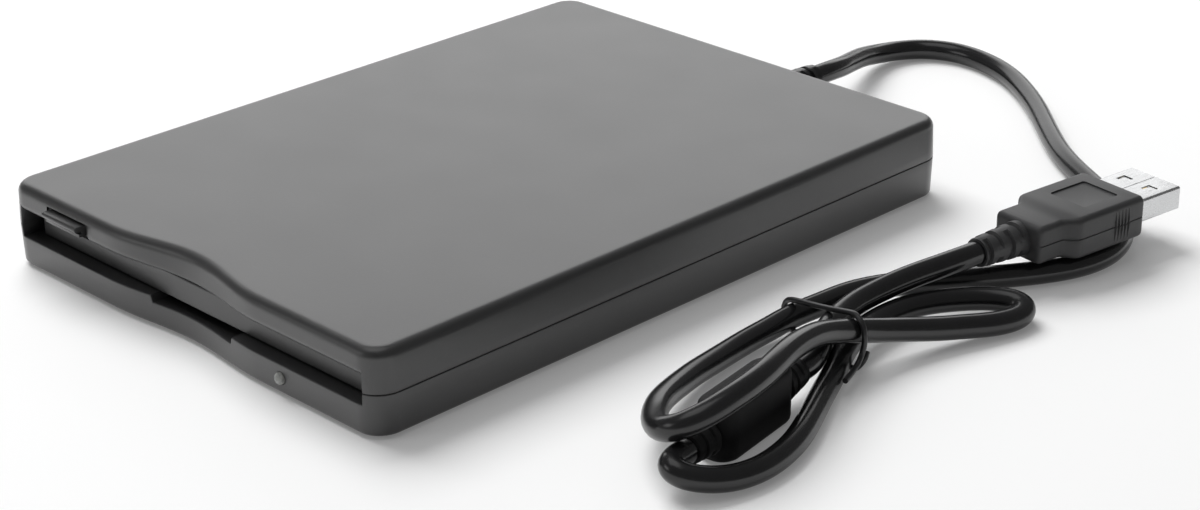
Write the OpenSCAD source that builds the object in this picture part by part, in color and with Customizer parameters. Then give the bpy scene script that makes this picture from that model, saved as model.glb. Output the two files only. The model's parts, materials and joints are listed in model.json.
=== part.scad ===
// External drive for 90 mm floppy disks, with its lead folded and tied beside it.
// Origin: the middle of the drive's base, on the surface that it stands on.
// +X is to the right seen from the front, the disk slot looks towards -Y, +Z is up.

/* [Case] */
// Width of the case, side to side
case_w = 103; // [103:1:110]
// Depth of the case, front to back
case_d = 143; // [143:1:150]
// Height of the closed case, without its feet
case_h = 15.5; // [15.5:0.5:18]
// Height of the joint between cover and bottom shell, over the case's underside
joint_h = 7.7; // [7.2:0.1:8.4]
// Thickness of the side and rear walls
wall = 1.8; // [1.4:0.1:1.9]
// Thickness of the bottom shell's floor
floor_t = 1.2; // [1:0.1:1.4]
// Thickness of the cover's top
roof_t = 1.2; // [0.9:0.1:1.3]
// Thickness of the front wall beside the scoop
front_wall = 4.6; // [4.5:0.1:4.8]
// Radius of the case's upright corners
corner_r = 5; // [4:0.5:6]
// Radius of the cover's top edge
edge_r = 1.8; // [1:0.1:2]
// Radius of the bottom shell's lower edge
base_edge_r = 0.8; // [0.4:0.1:1]
// Slope of the outer walls away from the joint, in degrees
draft = 2; // [0:0.5:3]
// Depth of the V groove along the joint
joint_groove = 0.25; // [0.1:0.05:0.35]
// Half width of the scoop in the front
scoop_half = 21; // [14:1:26]
// Depth of the scoop at the top of the case
scoop_top = 3.2; // [1.5:0.1:3.2]
// Depth of the scoop at the underside
scoop_base = 1.5; // [0.5:0.1:2]

/* [Disk slot and door] */
// Width of the disk slot
slot_w = 95.6; // [95:0.2:97]
// Height of the chin under the slot, over the case's underside
chin_h = 5.6; // [5.4:0.1:5.8]
// Height of the slot
slot_h = 5.1; // [5:0.1:5.4]
// Width of the finger notch in the chin
notch_w = 23; // [16:1:30]
// Depth of the finger notch
notch_drop = 1.3; // [0.6:0.1:2]
// Width of the dust door
door_w = 90; // [88:0.5:90.4]
// Thickness of the dust door
door_t = 1; // [0.8:0.1:1.1]
// Gap under the closed door, over the chin
door_clear = 0.15; // [0.1:0.05:0.3]
// How far the closed door's face stands in front of the front wall's back
door_set = 1.5; // [1.4:0.1:1.6]
// Radius of the door's hinge pins
door_pin_r = 0.35; // [0.3:0.05:0.35]

/* [Button and light] */
// Width of the eject button
button_w = 10.3; // [8:0.1:11]
// Height of the eject button
button_h = 2.05; // [1.8:0.05:2.2]
// Distance of the button's middle from the case's middle
button_x = 33.15; // [30:0.5:36]
// How far the button's ledge stands out of the front
button_ledge = 1.7; // [1:0.1:2.5]
// Radius of the status light
led_r = 1.1; // [1:0.05:1.45]
// Distance of the status light from the case's middle
led_x = 26.8; // [20:0.1:30]

/* [Disk and mechanism] */
// Width of the disk that the drive takes
disk_w = 90; // [89:0.5:90.5]
// Distance from the disk's hub to its leading edge
hub_to_edge = 45; // [44:0.5:46]
// Thickness of the disk's shell
disk_t = 3.3; // [3:0.1:3.4]
// Distance of the spindle behind the case's middle (negative is in front)
spindle_y = -12; // [-13:0.5:-11.5]
// How far the cradle lowers the disk
load_drop = 1.8; // [1.5:0.1:1.8]
// Travel of the eject slide
eject_travel = 3.5; // [3:0.1:3.6]
// Thickness of the chassis sheet
chassis_t = 0.7; // [0.5:0.1:0.7]
// Thickness of the cradle and slide sheets
sheet_t = 0.6; // [0.4:0.1:0.6]
// Radius of the cradle's guide pins
cradle_pin_r = 0.9; // [0.7:0.1:1]
// Length of the shutter lever, pivot to pin
lever_len = 20; // [19:0.5:20.5]
// Radius of the spindle motor's rotor
rotor_r = 15; // [13:0.5:16]
// Radius of the spindle shaft
shaft_r = 2; // [1.5:0.1:2.5]
// Radial clearance of the spindle in its bearing
bearing_gap = 0.03; // [0.02:0.01:0.08]
// Wall of the bearing sleeve
bearing_wall = 1.5; // [1:0.1:2]
// Distance of the drive pin from the spindle's axis
drive_pin_at = 10; // [8:0.5:11]
// Travel of the heads
head_travel = 14.8; // [13:0.2:15]
// Distance of the heads from the spindle at the outermost track
head_home = 39.7; // [39.4:0.1:40]
// Radius of the guide rods
rod_r = 1; // [0.8:0.1:1.2]
// Running clearance of the carriage on its rods
rod_gap = 0.05; // [0.03:0.01:0.1]
// Radius of the lead screw's core
screw_core_r = 0.9; // [0.7:0.1:1]
// Lead of the screw thread
screw_lead = 3; // [2.5:0.5:4]
// Radius of the stepper motor
stepper_r = 5; // [4:0.5:5]
// Thickness of the circuit boards
board_t = 0.8; // [0.6:0.1:0.9]
// Radius of the switch plungers
plunger_r = 0.7; // [0.5:0.1:0.8]

/* [Fasteners and feet] */
// Shank radius of the case screws
case_screw_r = 1.2; // [1:0.1:1.3]
// Head radius of the case screws
case_screw_head_r = 2.2; // [1.8:0.1:2.3]
// Shank radius of the mechanism screws
mech_screw_r = 1; // [0.8:0.1:1.1]
// Radius of the rubber feet
foot_r = 4.5; // [3:0.5:6]
// How far the feet lift the case
foot_h = 0.5; // [0.5:0.1:1]

/* [Cord and plug] */
// Diameter of the cord
cord_d = 4.3; // [3.6:0.1:4.4]
// Distance of the strain relief from the case's middle
gland_x = 6; // [0:0.5:6]
// Length of the strain relief outside the case
gland_l = 14.5; // [10:0.5:14.5]
// Radius of the strain relief at the case
gland_r = 3.4; // [3:0.1:3.6]
// Width of the plug's grip
plug_w = 15.4; // [14:0.2:16]
// Thickness of the plug's grip
plug_t = 8; // [7.5:0.1:8]
// Length of the plug's grip with its neck
plug_l = 25; // [24:0.5:25]
// Width of the plug's metal shell
shell_w = 12; // [12:0.1:12.2]
// Thickness of the plug's metal shell
shell_t = 4.5; // [4.4:0.1:4.6]
// Length of the plug's metal shell
shell_l = 11.5; // [11:0.1:12]
// Thickness of the block moulded on the cord
block_t = 7.5; // [7:0.1:7.6]
// Height of the block moulded on the cord
block_h = 10; // [9:0.1:10]
// Radius of the tie wire with its coat
tie_r = 0.5; // [0.35:0.05:0.5]

/* [Hidden] */
$fn = 48;

// Colours
case_grey = "darkgray";
dark_grey = "dimgray";
steel = "lightsteelblue";
cord_black = "#151515";
board_green = "seagreen";

// The works are laid out for a case of 103 by 143 by 15.5, and keep their share of another one
wide = case_w / 103;
deep = case_d / 143;
tall = case_h / 15.5;

// Case levels and walls
cut = 0.1;
case_top = foot_h + case_h;
joint_z = foot_h + tall * joint_h;
floor_in = foot_h + floor_t;
roof_in = case_top - roof_t;
chin_z = foot_h + tall * chin_h;
slot_top = chin_z + tall * slot_h;
slot_half = wide * slot_w / 2;
front_y = -case_d / 2;
rear_y = case_d / 2;
inner_front = front_y + front_wall;
inner_rear = rear_y - wall;
inner_x = case_w / 2 - wall;
inner_corner_r = corner_r - wall;
notch_x = 1.5;
notch_side = 0.5;
screw_boss_r = case_screw_head_r + 1.1;
screw_boss_x = inner_x - 6.5;
screw_boss_y = inner_rear - 4.6;
screw_head_h = 1.6;
foot_set = 0.3;
foot_x = case_w / 2 - 9;
foot_y = case_d / 2 - 9;

// Door
door_half = wide * door_w / 2;
door_y = inner_front - door_set;
barrel_r = door_t / 2;
hinge_y = door_y + barrel_r;
hinge_z = slot_top - barrel_r - 0.15;
door_low = chin_z + door_clear;
pin_reach = slot_half + 1.2;
door_wire_r = 0.12;
door_coil_r = door_pin_r + door_wire_r + 0.02;
spring_wire_r = 0.14;

// Button
button_low = slot_top + 0.75;
button_play = 0.2;
button_front = front_y + 0.17;
button_tall = tall * button_h;

// Mechanism, bottom to top
sheet_gap = 0.15;
board_z = floor_in + 0.25;
board_top = board_z + board_t;
chassis_z = board_top + sheet_gap;
chassis_top = chassis_z + chassis_t;
drop = tall * load_drop;
lip_z = chassis_top + drop + tall * 0.2;
lip_top = lip_z + sheet_t;
bay_h = tall * (disk_t + 0.9);
cradle_roof = lip_top + bay_h;
cradle_top = cradle_roof + sheet_t;
lever_z = cradle_top + sheet_gap;
slide_z = lever_z + sheet_t + sheet_gap;
slide_top = slide_z + sheet_t;
hook_z = slide_top + 0.25;
hook_top = hook_z + 0.6;

// Mechanism, middle to side
cradle_in = wide * (disk_w / 2 + 0.6);
cradle_out = cradle_in + sheet_t;
flange_in = cradle_out + 0.4;
flange_out = flange_in + sheet_t;
chassis_in = flange_out + 0.4;
chassis_out = chassis_in + chassis_t;
motor_room = 10.9;
chassis_front = inner_front + 4.9;
chassis_rear = inner_rear - deep * motor_room;
cradle_front = inner_front + 8;
hub_y = deep * spindle_y;
disk_edge = hub_y + deep * hub_to_edge;
cradle_rear = disk_edge + 1;
slide_front = cradle_front + 3.6;
slide_rear = cradle_rear - 5;
guide_pin_y = [deep * -45, deep * 20];
guide_pin_z = lip_z + 2.6;
guide_gap = 0.12;

// Spindle
rotor_top = chassis_top + drop - 1;
rotor_rim = 1.4;

// Shutter lever
lever_x = wide * -34;
lever_y = disk_edge + 1;
lever_pivot_r = 1.4;
lever_pin_r = 1;
lever_rest = -70;
lever_turn = 65;

// Heads and carriage
head_y = hub_y + deep * head_home;
tongue_top = chassis_top + drop - 1.1;
carriage_l = deep * 6;
carriage_y = disk_edge + deep * (head_travel + 2.9);
bracket_y = disk_edge + 1.6;
rod_z = chassis_top + 3.6;
rod_left = wide * -14;
rod_right = wide * 11;
screw_x = wide * 19;
thread_r = 0.25;
arm_z = cradle_top + 0.6;
arm_t = 1;
arm_pivot_y = carriage_y + carriage_l / 2;
arm_pivot_z = arm_z + arm_t / 2;
arm_pin_r = 0.6;
arm_half = 7;
window_half = 10;
upper_head_z = cradle_roof + 0.05;
lower_head_top = lip_z + 0.4;

// Switch plungers
plunger_x = wide * 36;
plunger_y = chassis_front + 7;
plunger_top = lip_top - 0.3;

// Interface board and inner wires
iface_z = floor_in + 2.8;
iface_l = wide * 38.5;
iface_x0 = screw_boss_r + 2.9 - screw_boss_x;
iface_x1 = iface_x0 + iface_l;
iface_y1 = inner_rear - 0.7;
iface_y0 = iface_y1 - 8;

// Cord
cord_r = cord_d / 2;
gland_mouth = rear_y + gland_l;
plug_at = [89.3, 73.3, 8.7];
plug_turn = -7;
plug_relief_l = 10;
plug_axis = [-sin(plug_turn), cos(plug_turn), 0];
plug_mouth = plug_at - (plug_l + plug_relief_l) * plug_axis;
block_from = [93.5, -44.5, 5];
block_to = [88, -12.5, 5];
block_axis = (block_to - block_from) / norm(block_to - block_from);

// The lead, from the strain relief round the back and under the plug
lead_route = [
    [gland_x, gland_mouth, joint_z], [gland_x, gland_mouth + 4.5, joint_z],
    [5, 95.5, 7.5], [3, 100.5, 6.5], [0, 108.5, 5],
    [-2, 116, 3.2], [-1.5, 122.5, 2.4], [2, 128, 2.2], [8.5, 131, 2.2], [16.5, 130.5, 2.2],
    [25, 127.5, 2.2], [33.5, 122, 2.2], [41.5, 115.5, 2.2], [50, 107.5, 2.2],
    [59, 99.5, 2.2], [68, 93.5, 2.2], [77.5, 88, 2.2], [86.5, 81, 2.2], [92, 73, 2.2],
    [94, 65, 2.2], [92.5, 56.5, 2.2], [87.5, 47.5, 2.2],
    [82.9, 39.2, 2.7], [78.8, 31.4, 3.4], [75.6, 24.2, 4], [73.4, 17.4, 4.1],
    [72.38, 11.1, 3.74]];
// The folded bundle: two and a half turns, over the block and back into it
bundle_route = [
    [72.38, 11.1, 3.74], [71.4, 5.1, 3.4], [71.3, -0.6, 2.9], [71.4, -6.1, 2.7],
    [71.9, -11.5, 2.6], [72.8, -16.8, 2.8], [73.9, -22, 3.2], [75.5, -27.1, 3.7],
    [77.4, -32, 4.4], [79.7, -36.5, 5.2], [82.5, -40.4, 5.9], [85.5, -43.5, 6.7],
    [88.5, -45.6, 7.6], [91.2, -46.5, 8.7], [93.4, -45.9, 9.7], [94.9, -43.9, 10.7],
    [95.7, -40.9, 11.5], [95.8, -37.1, 12.1], [95.4, -32.7, 12.4], [94.4, -27.9, 12.5],
    [92.9, -23, 12.5], [91.2, -18, 12.2], [89.7, -13, 11.5], [88.6, -8, 10.5], [88.2, -3, 9],
    [88.5, 2.2, 7.5], [89.4, 7.4, 6], [90.9, 12.7, 4.8], [92.8, 18, 3.7], [94.8, 23.1, 3],
    [96.7, 27.8, 2.4], [97.9, 31.8, 2.2], [98, 34.9, 2.3], [97, 36.6, 2.8], [94.9, 36.7, 3.1],
    [92.4, 35.3, 3.3], [89.7, 32.7, 3.4], [87.2, 29.1, 3.5], [85.1, 24.8, 3.7],
    [83.8, 20.1, 3.8], [83.4, 15.1, 3.8], [83.8, 10, 3.7], [85, 4.9, 3.6], [87, -0.2, 3.1],
    [89.5, -5.1, 2.3], [92.1, -10.4, 2.2], [94.8, -15.6, 2.2], [97.6, -20.9, 2.2],
    [100, -26.2, 2.2], [101.6, -31.6, 2.2], [102.2, -37, 2.2], [101.6, -41.9, 2.4],
    [100.1, -46, 3], [98, -48.9, 3.8], [95.9, -50, 4.6],
    block_from - block_axis * cord_d, block_from];
// The tail, from the block through the bundle to the plug
tail_route = [
    block_to, block_to + block_axis * cord_d,
    [85.4, -4.5, 5.5], [83.4, -0.6, 5.9], [81.8, 3.5, 6.2], [80.7, 7.7, 6.4], [80.2, 12, 6.7],
    [80.4, 16.4, 7], [81.1, 20.9, 7.5], [82.2, 25.4, 8], [83.5, 29.9, 8.4],
    plug_mouth - plug_axis * cord_d, plug_mouth];

// ---- Helpers ----

function unit(v) = v / norm(v);

// Directions of travel along a path, one per point
function headings(p) = [for (i = [0:len(p) - 1])
    unit(p[min(i + 1, len(p) - 1)] - p[max(i - 1, 0)])];

// A vector made square to a heading
function square_to(v, t) = unit(v - (v * t) * t);

// Side vectors carried along the headings without turning about them
function carried(t, first) = [for (i = 0, s = square_to(first, t[0]); i < len(t);
    i = i + 1, s = i < len(t) ? square_to(s, t[i]) : s) s];

// One ring of points round each point of a path
function rings_along(p, r, n, t, s) = [for (i = [0:len(p) - 1]) [for (k = [0:n - 1])
    p[i] + r * (cos(360 * k / n) * s[i] + sin(360 * k / n) * cross(t[i], s[i]))]];

// A closed skin over a stack of rings that all have the same number of points
module skin(rings) {
    n = len(rings[0]);
    last = len(rings) - 1;
    polyhedron(
        points = [for (ring = rings) each ring],
        faces = concat(
            [[for (k = [0:n - 1]) k], [for (k = [n - 1:-1:0]) last * n + k]],
            [for (i = [0:last - 1]) for (k = [0:n - 1])
                [i * n + k, (i + 1) * n + k, (i + 1) * n + (k + 1) % n]],
            [for (i = [0:last - 1]) for (k = [0:n - 1])
                [i * n + k, (i + 1) * n + (k + 1) % n, i * n + (k + 1) % n]]),
        convexity = 10);
}

// A skin whose first and last rings are level, cut flat at both
module level_skin(rings) {
    last = rings[len(rings) - 1];
    spare = 1;
    intersection() {
        skin(concat([[for (p = rings[0]) p - [0, 0, spare]]], rings,
            [[for (p = last) p + [0, 0, spare]]]));
        box([-case_w, -case_d, rings[0][0].z], [case_w, case_d, last[0].z]);
    }
}

// A round tube swept along a path
module tube(path, r, sides) {
    t = headings(path);
    skin(rings_along(path, r, sides, t, carried(t, [0, 0, 1] + 0.01 * [1, 2, 0])));
}

// A box between two opposite corners
module box(a, b) {
    translate(a) cube(b - a);
}

// A rod along X or Y, from a to b on that axis
module rod_x(r, a, b, y, z) {
    translate([a, y, z]) rotate([0, 90, 0]) cylinder(r = r, h = b - a);
}
module rod_y(r, a, b, x, z) {
    translate([x, a, z]) rotate([-90, 0, 0]) cylinder(r = r, h = b - a);
}

// A soft-edged block: four upright corners of radius r, top and bottom edges eased by e
module soft_block(a, b, r, e) {
    hull() for (x = [a.x + r, b.x - r], y = [a.y + r, b.y - r]) {
        translate([x, y, a.z + e]) cylinder(r = r, h = b.z - a.z - 2 * e, $fn = 24);
        translate([x, y, a.z]) cylinder(r = r - e, h = b.z - a.z, $fn = 24);
    }
}

// A helix of wire about an axis along X, starting at x = 0
function helix_x(r, turns, length, steps) = [for (i = [0:steps])
    [length * i / steps, r * sin(360 * turns * i / steps), r * cos(360 * turns * i / steps)]];

// ---- Case ----

// Depth of the scoop at a height
function scoop_at(z) = scoop_base + (scoop_top - scoop_base) * (z - foot_h) / case_h;

// Front edge of the plan: straight, with one smooth wave in the middle
function front_edge(x, z) = front_y
    + scoop_at(z) * pow(cos(90 * min(1, abs(x) / scoop_half)), 2);

// The case's plan at a height, drawn in by an inset, counter-clockwise from front left
scoop_steps = 20;
corner_steps = 6;
function front_points(inset, z) = [for (i = [0:scoop_steps])
    let (x = scoop_half * (2 * i / scoop_steps - 1)) [x, front_edge(x, z) + inset, z]];
function corner_points(sx, sy, a0, inset, z) = [for (i = [0:corner_steps])
    let (a = a0 + 90 * i / corner_steps)
    [sx * (case_w / 2 - corner_r) + (corner_r - inset) * cos(a),
        sy * (case_d / 2 - corner_r) + (corner_r - inset) * sin(a), z]];
function case_plan(inset, z) = concat(
    corner_points(-1, -1, 180, inset, z), front_points(inset, z),
    corner_points(1, -1, 270, inset, z), corner_points(1, 1, 0, inset, z),
    corner_points(-1, 1, 90, inset, z));

// Inset of the wall at a height, from the draft alone
function draft_in(z) = abs(z - joint_z) * tan(draft);

edge_steps = 5;
function cover_rings() = concat(
    [case_plan(joint_groove, joint_z),
        case_plan(draft_in(joint_z + joint_groove), joint_z + joint_groove)],
    [for (i = [0:edge_steps])
        let (a = 90 * i / edge_steps, z0 = case_top - edge_r)
        case_plan(draft_in(z0) + edge_r * (1 - cos(a)), z0 + edge_r * sin(a))]);
function shell_rings() = concat(
    [for (i = [0:edge_steps])
        let (a = 90 - 90 * i / edge_steps, z0 = foot_h + base_edge_r)
        case_plan(draft_in(z0) + base_edge_r * (1 - cos(a)), z0 - base_edge_r * sin(a))],
    [case_plan(draft_in(joint_z - joint_groove), joint_z - joint_groove),
        case_plan(joint_groove, joint_z)]);

// The room inside, square at the front and round at the two rear corners
module case_hollow(z0, z1) {
    turn_x = inner_x - inner_corner_r;
    turn_y = inner_rear - inner_corner_r;
    box([-inner_x, inner_front, z0], [inner_x, turn_y, z1]);
    box([-turn_x, inner_front, z0], [turn_x, inner_rear, z1]);
    for (s = [-1, 1]) translate([s * turn_x, turn_y, z0]) cylinder(r = inner_corner_r, h = z1 - z0);
}

module gland_hole() {
    rod_y(gland_neck_r, inner_rear - 1, rear_y + 1, gland_x, joint_z);
}
gland_neck_r = 2.6;

module top_cover() {
    color(case_grey)
    difference() {
        union() {
            difference() {
                level_skin(cover_rings());
                case_hollow(joint_z - 1, roof_in);
            }
            // Bosses over the case screws
            for (s = [-1, 1]) translate([s * screw_boss_x, screw_boss_y, joint_z])
                cylinder(r = screw_boss_r, h = roof_in - joint_z + cut);
        }
        // Slot between the two side posts
        box([-slot_half, front_y - 1, joint_z - 1], [slot_half, inner_front + cut, slot_top]);
        // Opening for the eject button, in a shallow recess
        box([-button_x - button_w / 2 - button_play, front_y - 1, button_low - sheet_gap],
            [-button_x + button_w / 2 + button_play, inner_front + 1,
                button_low + button_tall + sheet_gap]);
        box([-button_x - button_w / 2 - 0.7, front_y - 1, button_low - 0.3],
            [-button_x + button_w / 2 + 1.6, button_front + 0.6, button_low + button_tall + 0.5]);
        for (s = [-1, 1]) {
            // Bearing of the door's pin in the side post
            rod_x(door_pin_r + 0.05, s > 0 ? slot_half - cut : -pin_reach - 0.3,
                s > 0 ? pin_reach + 0.3 : cut - slot_half, hinge_y, hinge_z);
            translate([s * screw_boss_x, screw_boss_y, joint_z - cut])
                cylinder(r = case_screw_r + 0.02, h = screw_reach + 2 * cut);
        }
        gland_hole();
    }
}
screw_reach = 5;

// The finger notch: level, with steep ends
module notch_cut() {
    half = notch_w / 2;
    low = chin_z - notch_drop;
    high = (chin_z + joint_z) / 2;
    translate([notch_x, inner_front + cut, 0]) rotate([90, 0, 0])
        linear_extrude(height = front_wall + 2)
            polygon([[-half, high], [-half, chin_z], [notch_side - half, low],
                [half - notch_side, low], [half, chin_z], [half, high]]);
}

rib_x = [wide * -30, 0, wide * 30];
boss_r = 2.4;
mech_x = wide * 41.5;
mech_y = [chassis_front + deep * 8, chassis_rear - deep * 14];

module bottom_shell() {
    color(case_grey)
    difference() {
        union() {
            difference() {
                level_skin(shell_rings());
                case_hollow(floor_in, joint_z + 1);
            }
            // Ribs under the main board, bosses under the chassis and the screws
            for (x = rib_x) box([x - 0.5, chassis_front + 4, floor_in - cut],
                [x + 0.5, disk_edge - 2, board_z]);
            for (s = [-1, 1], y = mech_y) translate([s * mech_x, y, floor_in - cut])
                cylinder(r = boss_r, h = chassis_z - floor_in + cut);
            for (s = [-1, 1]) translate([s * screw_boss_x, screw_boss_y, floor_in - cut])
                cylinder(r = screw_boss_r, h = joint_z - floor_in + cut);
            // Posts under the interface board
            for (x = [iface_x0 + 4, iface_x1 - 5])
                translate([x, iface_y0 + 4, floor_in - cut])
                    cylinder(r = 1.8, h = iface_z - floor_in + cut);
        }
        box([-slot_half, front_y - 1, chin_z], [slot_half, inner_front + cut, joint_z + 1]);
        notch_cut();
        rod_y(led_r + 0.1, front_y - 1, inner_front + 1, led_x, led_z);
        for (s = [-1, 1], y = mech_y) translate([s * mech_x, y, floor_in - 0.6])
            cylinder(r = mech_screw_r + 0.02, h = chassis_z);
        for (s = [-1, 1]) translate([s * screw_boss_x, screw_boss_y, 0]) {
            cylinder(r = case_screw_r + 0.15, h = case_h);
            cylinder(r = case_screw_head_r + 0.2, h = screw_seat);
        }
        for (x = [-foot_x, foot_x], y = [-foot_y, foot_y])
            translate([x, y, 0]) cylinder(r = foot_r, h = foot_h + foot_set);
        gland_hole();
    }
}
screw_seat = foot_h + 2.5;

module rubber_feet() {
    color(cord_black)
    for (x = [-foot_x, foot_x], y = [-foot_y, foot_y])
        translate([x, y, 0]) cylinder(r = foot_r, h = foot_h + foot_set);
}

module case_screws() {
    color(steel)
    for (s = [-1, 1]) translate([s * screw_boss_x, screw_boss_y, screw_seat - screw_head_h]) {
        difference() {
            cylinder(r = case_screw_head_r, h = screw_head_h);
            for (a = [0, 90]) rotate([0, 0, a])
                box([-1.3, -0.25, -1], [1.3, 0.25, 0.7]);
        }
        cylinder(r = case_screw_r, h = joint_z + screw_reach - screw_seat + screw_head_h - 0.3);
    }
}

// ---- Door, button and light ----

module door_flap() {
    color(dark_grey)
    union() {
        box([-door_half, door_y, door_low], [door_half, door_y + door_t, hinge_z]);
        rod_x(barrel_r, -door_half, door_half, hinge_y, hinge_z);
        rod_x(door_pin_r, -pin_reach, pin_reach, hinge_y, hinge_z);
    }
}

module door_spring() {
    color(steel)
    translate([door_half + 0.15, hinge_y, hinge_z])
        tube(helix_x(door_coil_r, 6, slot_half - door_half - 0.3, 72), door_wire_r, 6);
}

module eject_button() {
    x0 = -button_x - button_w / 2;
    x1 = -button_x + button_w / 2;
    ledge_r = button_tall / 4;
    top = button_low + button_tall;
    color(case_grey)
    union() {
        box([x0, button_front - button_ledge / 2, button_low], [x1, tab_y, top]);
        box([x0, button_front - button_ledge + ledge_r, top - 2 * ledge_r], [x1, tab_y, top]);
        rod_x(ledge_r, x0, x1, button_front - button_ledge + ledge_r, top - ledge_r);
    }
}
tab_y = inner_front + 0.5;

led_z = foot_h + 3;
module status_led() {
    color("white")
    union() {
        rod_y(led_r, front_y, inner_front + 2.2, led_x, led_z);
        translate([led_x, front_y, led_z]) sphere(r = led_r);
        for (s = [-0.6, 0.6])
            box([led_x + s - 0.2, inner_front + 2, led_z - 0.3],
                [led_x + s + 0.2, chassis_front + 1.4, led_z - 0.3 + 0.4]);
    }
}

// ---- Disk mechanism ----

// A slot for a pin of radius r, from p to p + d in the YZ plane, cut along X
module pin_slot(r, x0, x1, p, d) {
    length = norm(d);
    translate([x0, p.x, p.y]) rotate([atan2(d.y, d.x), 0, 0]) {
        rotate([0, 90, 0]) cylinder(r = r, h = x1 - x0);
        translate([0, length, 0]) rotate([0, 90, 0]) cylinder(r = r, h = x1 - x0);
        translate([0, 0, -r]) cube([x1 - x0, length, 2 * r]);
    }
}

// Windows in the chassis over the chips: left, front, right, rear
chip_windows = [[-34, -46, -19, 2], [18, -46, 34, -18]];
rod_stop_z = rod_z + rod_r + 0.8;
hook_y = [deep * -30, 0];
hook_l = 5;
module chassis() {
    wall_h = slide_top + 0.2;
    color(steel)
    difference() {
        union() {
            box([-chassis_out, chassis_front, chassis_z],
                [chassis_out, chassis_rear, chassis_top]);
            for (s = [-1, 1]) {
                box([s > 0 ? chassis_in : -chassis_out, chassis_front + 2, chassis_z],
                    [s > 0 ? chassis_out : -chassis_in, chassis_rear, wall_h]);
                // Hooks over the eject slide
                for (y = hook_y) {
                    box([s > 0 ? chassis_in : -chassis_out, y, chassis_z],
                        [s > 0 ? chassis_out : -chassis_in, y + hook_l, hook_top]);
                    box([s > 0 ? chassis_in - 3.5 : -chassis_out, y, hook_z],
                        [s > 0 ? chassis_out : -chassis_in + 3.5, y + hook_l, hook_top]);
                }
            }
            // Rear wall and the front brackets of the rods and the screw
            box([-chassis_out, chassis_rear - chassis_t, chassis_z],
                [chassis_out, chassis_rear, rod_z + 4]);
            for (x = [rod_left, rod_right, screw_x]) box(
                [x - 2.4, bracket_y, chassis_z], [x + 2.4, bracket_y + chassis_t, rod_stop_z]);
        }
        translate([0, hub_y, 0]) cylinder(r = rotor_r + 1, h = lip_z);
        box([-arm_half - 1, hub_y + rotor_r, 0],
            [arm_half + 1, chassis_rear - chassis_t - cut, chassis_top + cut]);
        // Windows over the chips and the switches
        for (w = chip_windows) box([wide * w[0], deep * w[1], 0],
            [wide * w[2], deep * w[3], chassis_top + cut]);
        box([led_x - 1.5, chassis_front - 1, 0], [led_x + 1.5, chassis_front + 2, case_h]);
        for (s = [-1, 1]) box([s * plunger_x - 3, plunger_y - 3.2, 0],
            [s * plunger_x + 3, plunger_y + 3.2, chassis_top + cut]);
        for (x = [rod_left, rod_right])
            rod_y(rod_r + 0.02, bracket_y - 1, chassis_rear + 1, x, rod_z);
        rod_y(screw_core_r + 0.05, bracket_y - 1, chassis_rear + 1, screw_x, rod_z);
        for (y = guide_pin_y) pin_slot(cradle_pin_r + guide_gap, -chassis_out - 1,
            chassis_out + 1, [y, guide_pin_z], [0, -drop]);
        for (s = [-1, 1], y = mech_y) translate([s * mech_x, y, chassis_z])
            cylinder(r1 = mech_screw_r + 0.05, r2 = mech_screw_r + 0.85, h = chassis_t);
    }
}

module disk_cradle() {
    reach = 3.5;
    color(steel)
    difference() {
        union() {
            box([-cradle_out, cradle_front, cradle_roof], [cradle_out, cradle_rear, cradle_top]);
            box([-cradle_out, cradle_rear - cut, cradle_roof],
                [lever_x + lever_len - 3, cradle_rear + reach, cradle_top]);
            for (s = [-1, 1]) {
                box([s > 0 ? cradle_in : -cradle_out, cradle_front, lip_z],
                    [s > 0 ? cradle_out : -cradle_in, cradle_rear, cradle_top]);
                box([s > 0 ? cradle_in - 5 : -cradle_out, cradle_front, lip_z],
                    [s > 0 ? cradle_out : -cradle_in + 5, cradle_rear, lip_top]);
                for (y = guide_pin_y) rod_x(cradle_pin_r, s > 0 ? cradle_out - cut
                    : -chassis_out + 0.1, s > 0 ? chassis_out - 0.1 : -cradle_out + cut,
                    y, guide_pin_z);
            }
            // Stop for the disk's leading edge
            box([cradle_in - 12, disk_edge + 0.2, lip_top],
                [cradle_in - 4, disk_edge + 0.2 + sheet_t, cradle_top]);
            // Pivot of the shutter lever
            translate([lever_x, lever_y, cradle_roof])
                cylinder(r = lever_pivot_r, h = slide_z - sheet_gap - cradle_roof);
        }
        box([-window_half, hub_y + 16, cradle_roof - 1],
            [window_half, cradle_rear + 1, cradle_top + 1]);
        for (x = [-1, 1]) translate([22 * x, -30, cradle_roof - 1])
            cylinder(r = 9, h = 3);
        // Arc that the lever's pin swings in
        translate([lever_x, lever_y, cradle_roof - 1]) rotate([0, 0, lever_rest - 5])
            rotate_extrude(angle = lever_turn + 15)
                translate([lever_len - lever_pin_r - 0.3, 0])
                    square([2 * lever_pin_r + 0.6, 3]);
    }
}

module shutter_lever() {
    color("silver")
    translate([lever_x, lever_y, 0]) rotate([0, 0, lever_rest]) difference() {
        union() {
            translate([0, 0, lever_z]) cylinder(r = lever_pivot_r + 1.2, h = sheet_t);
            box([0, -1.3, lever_z], [lever_len, 1.3, lever_z + sheet_t]);
            translate([lever_len, 0, lever_z]) cylinder(r = 1.3, h = sheet_t);
            translate([lever_len, 0, lip_top + 0.4])
                cylinder(r = lever_pin_r, h = lever_z + sheet_t - lip_top - 0.4);
        }
        translate([0, 0, lever_z - 1]) cylinder(r = lever_pivot_r + 0.05, h = 3);
    }
}

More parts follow.
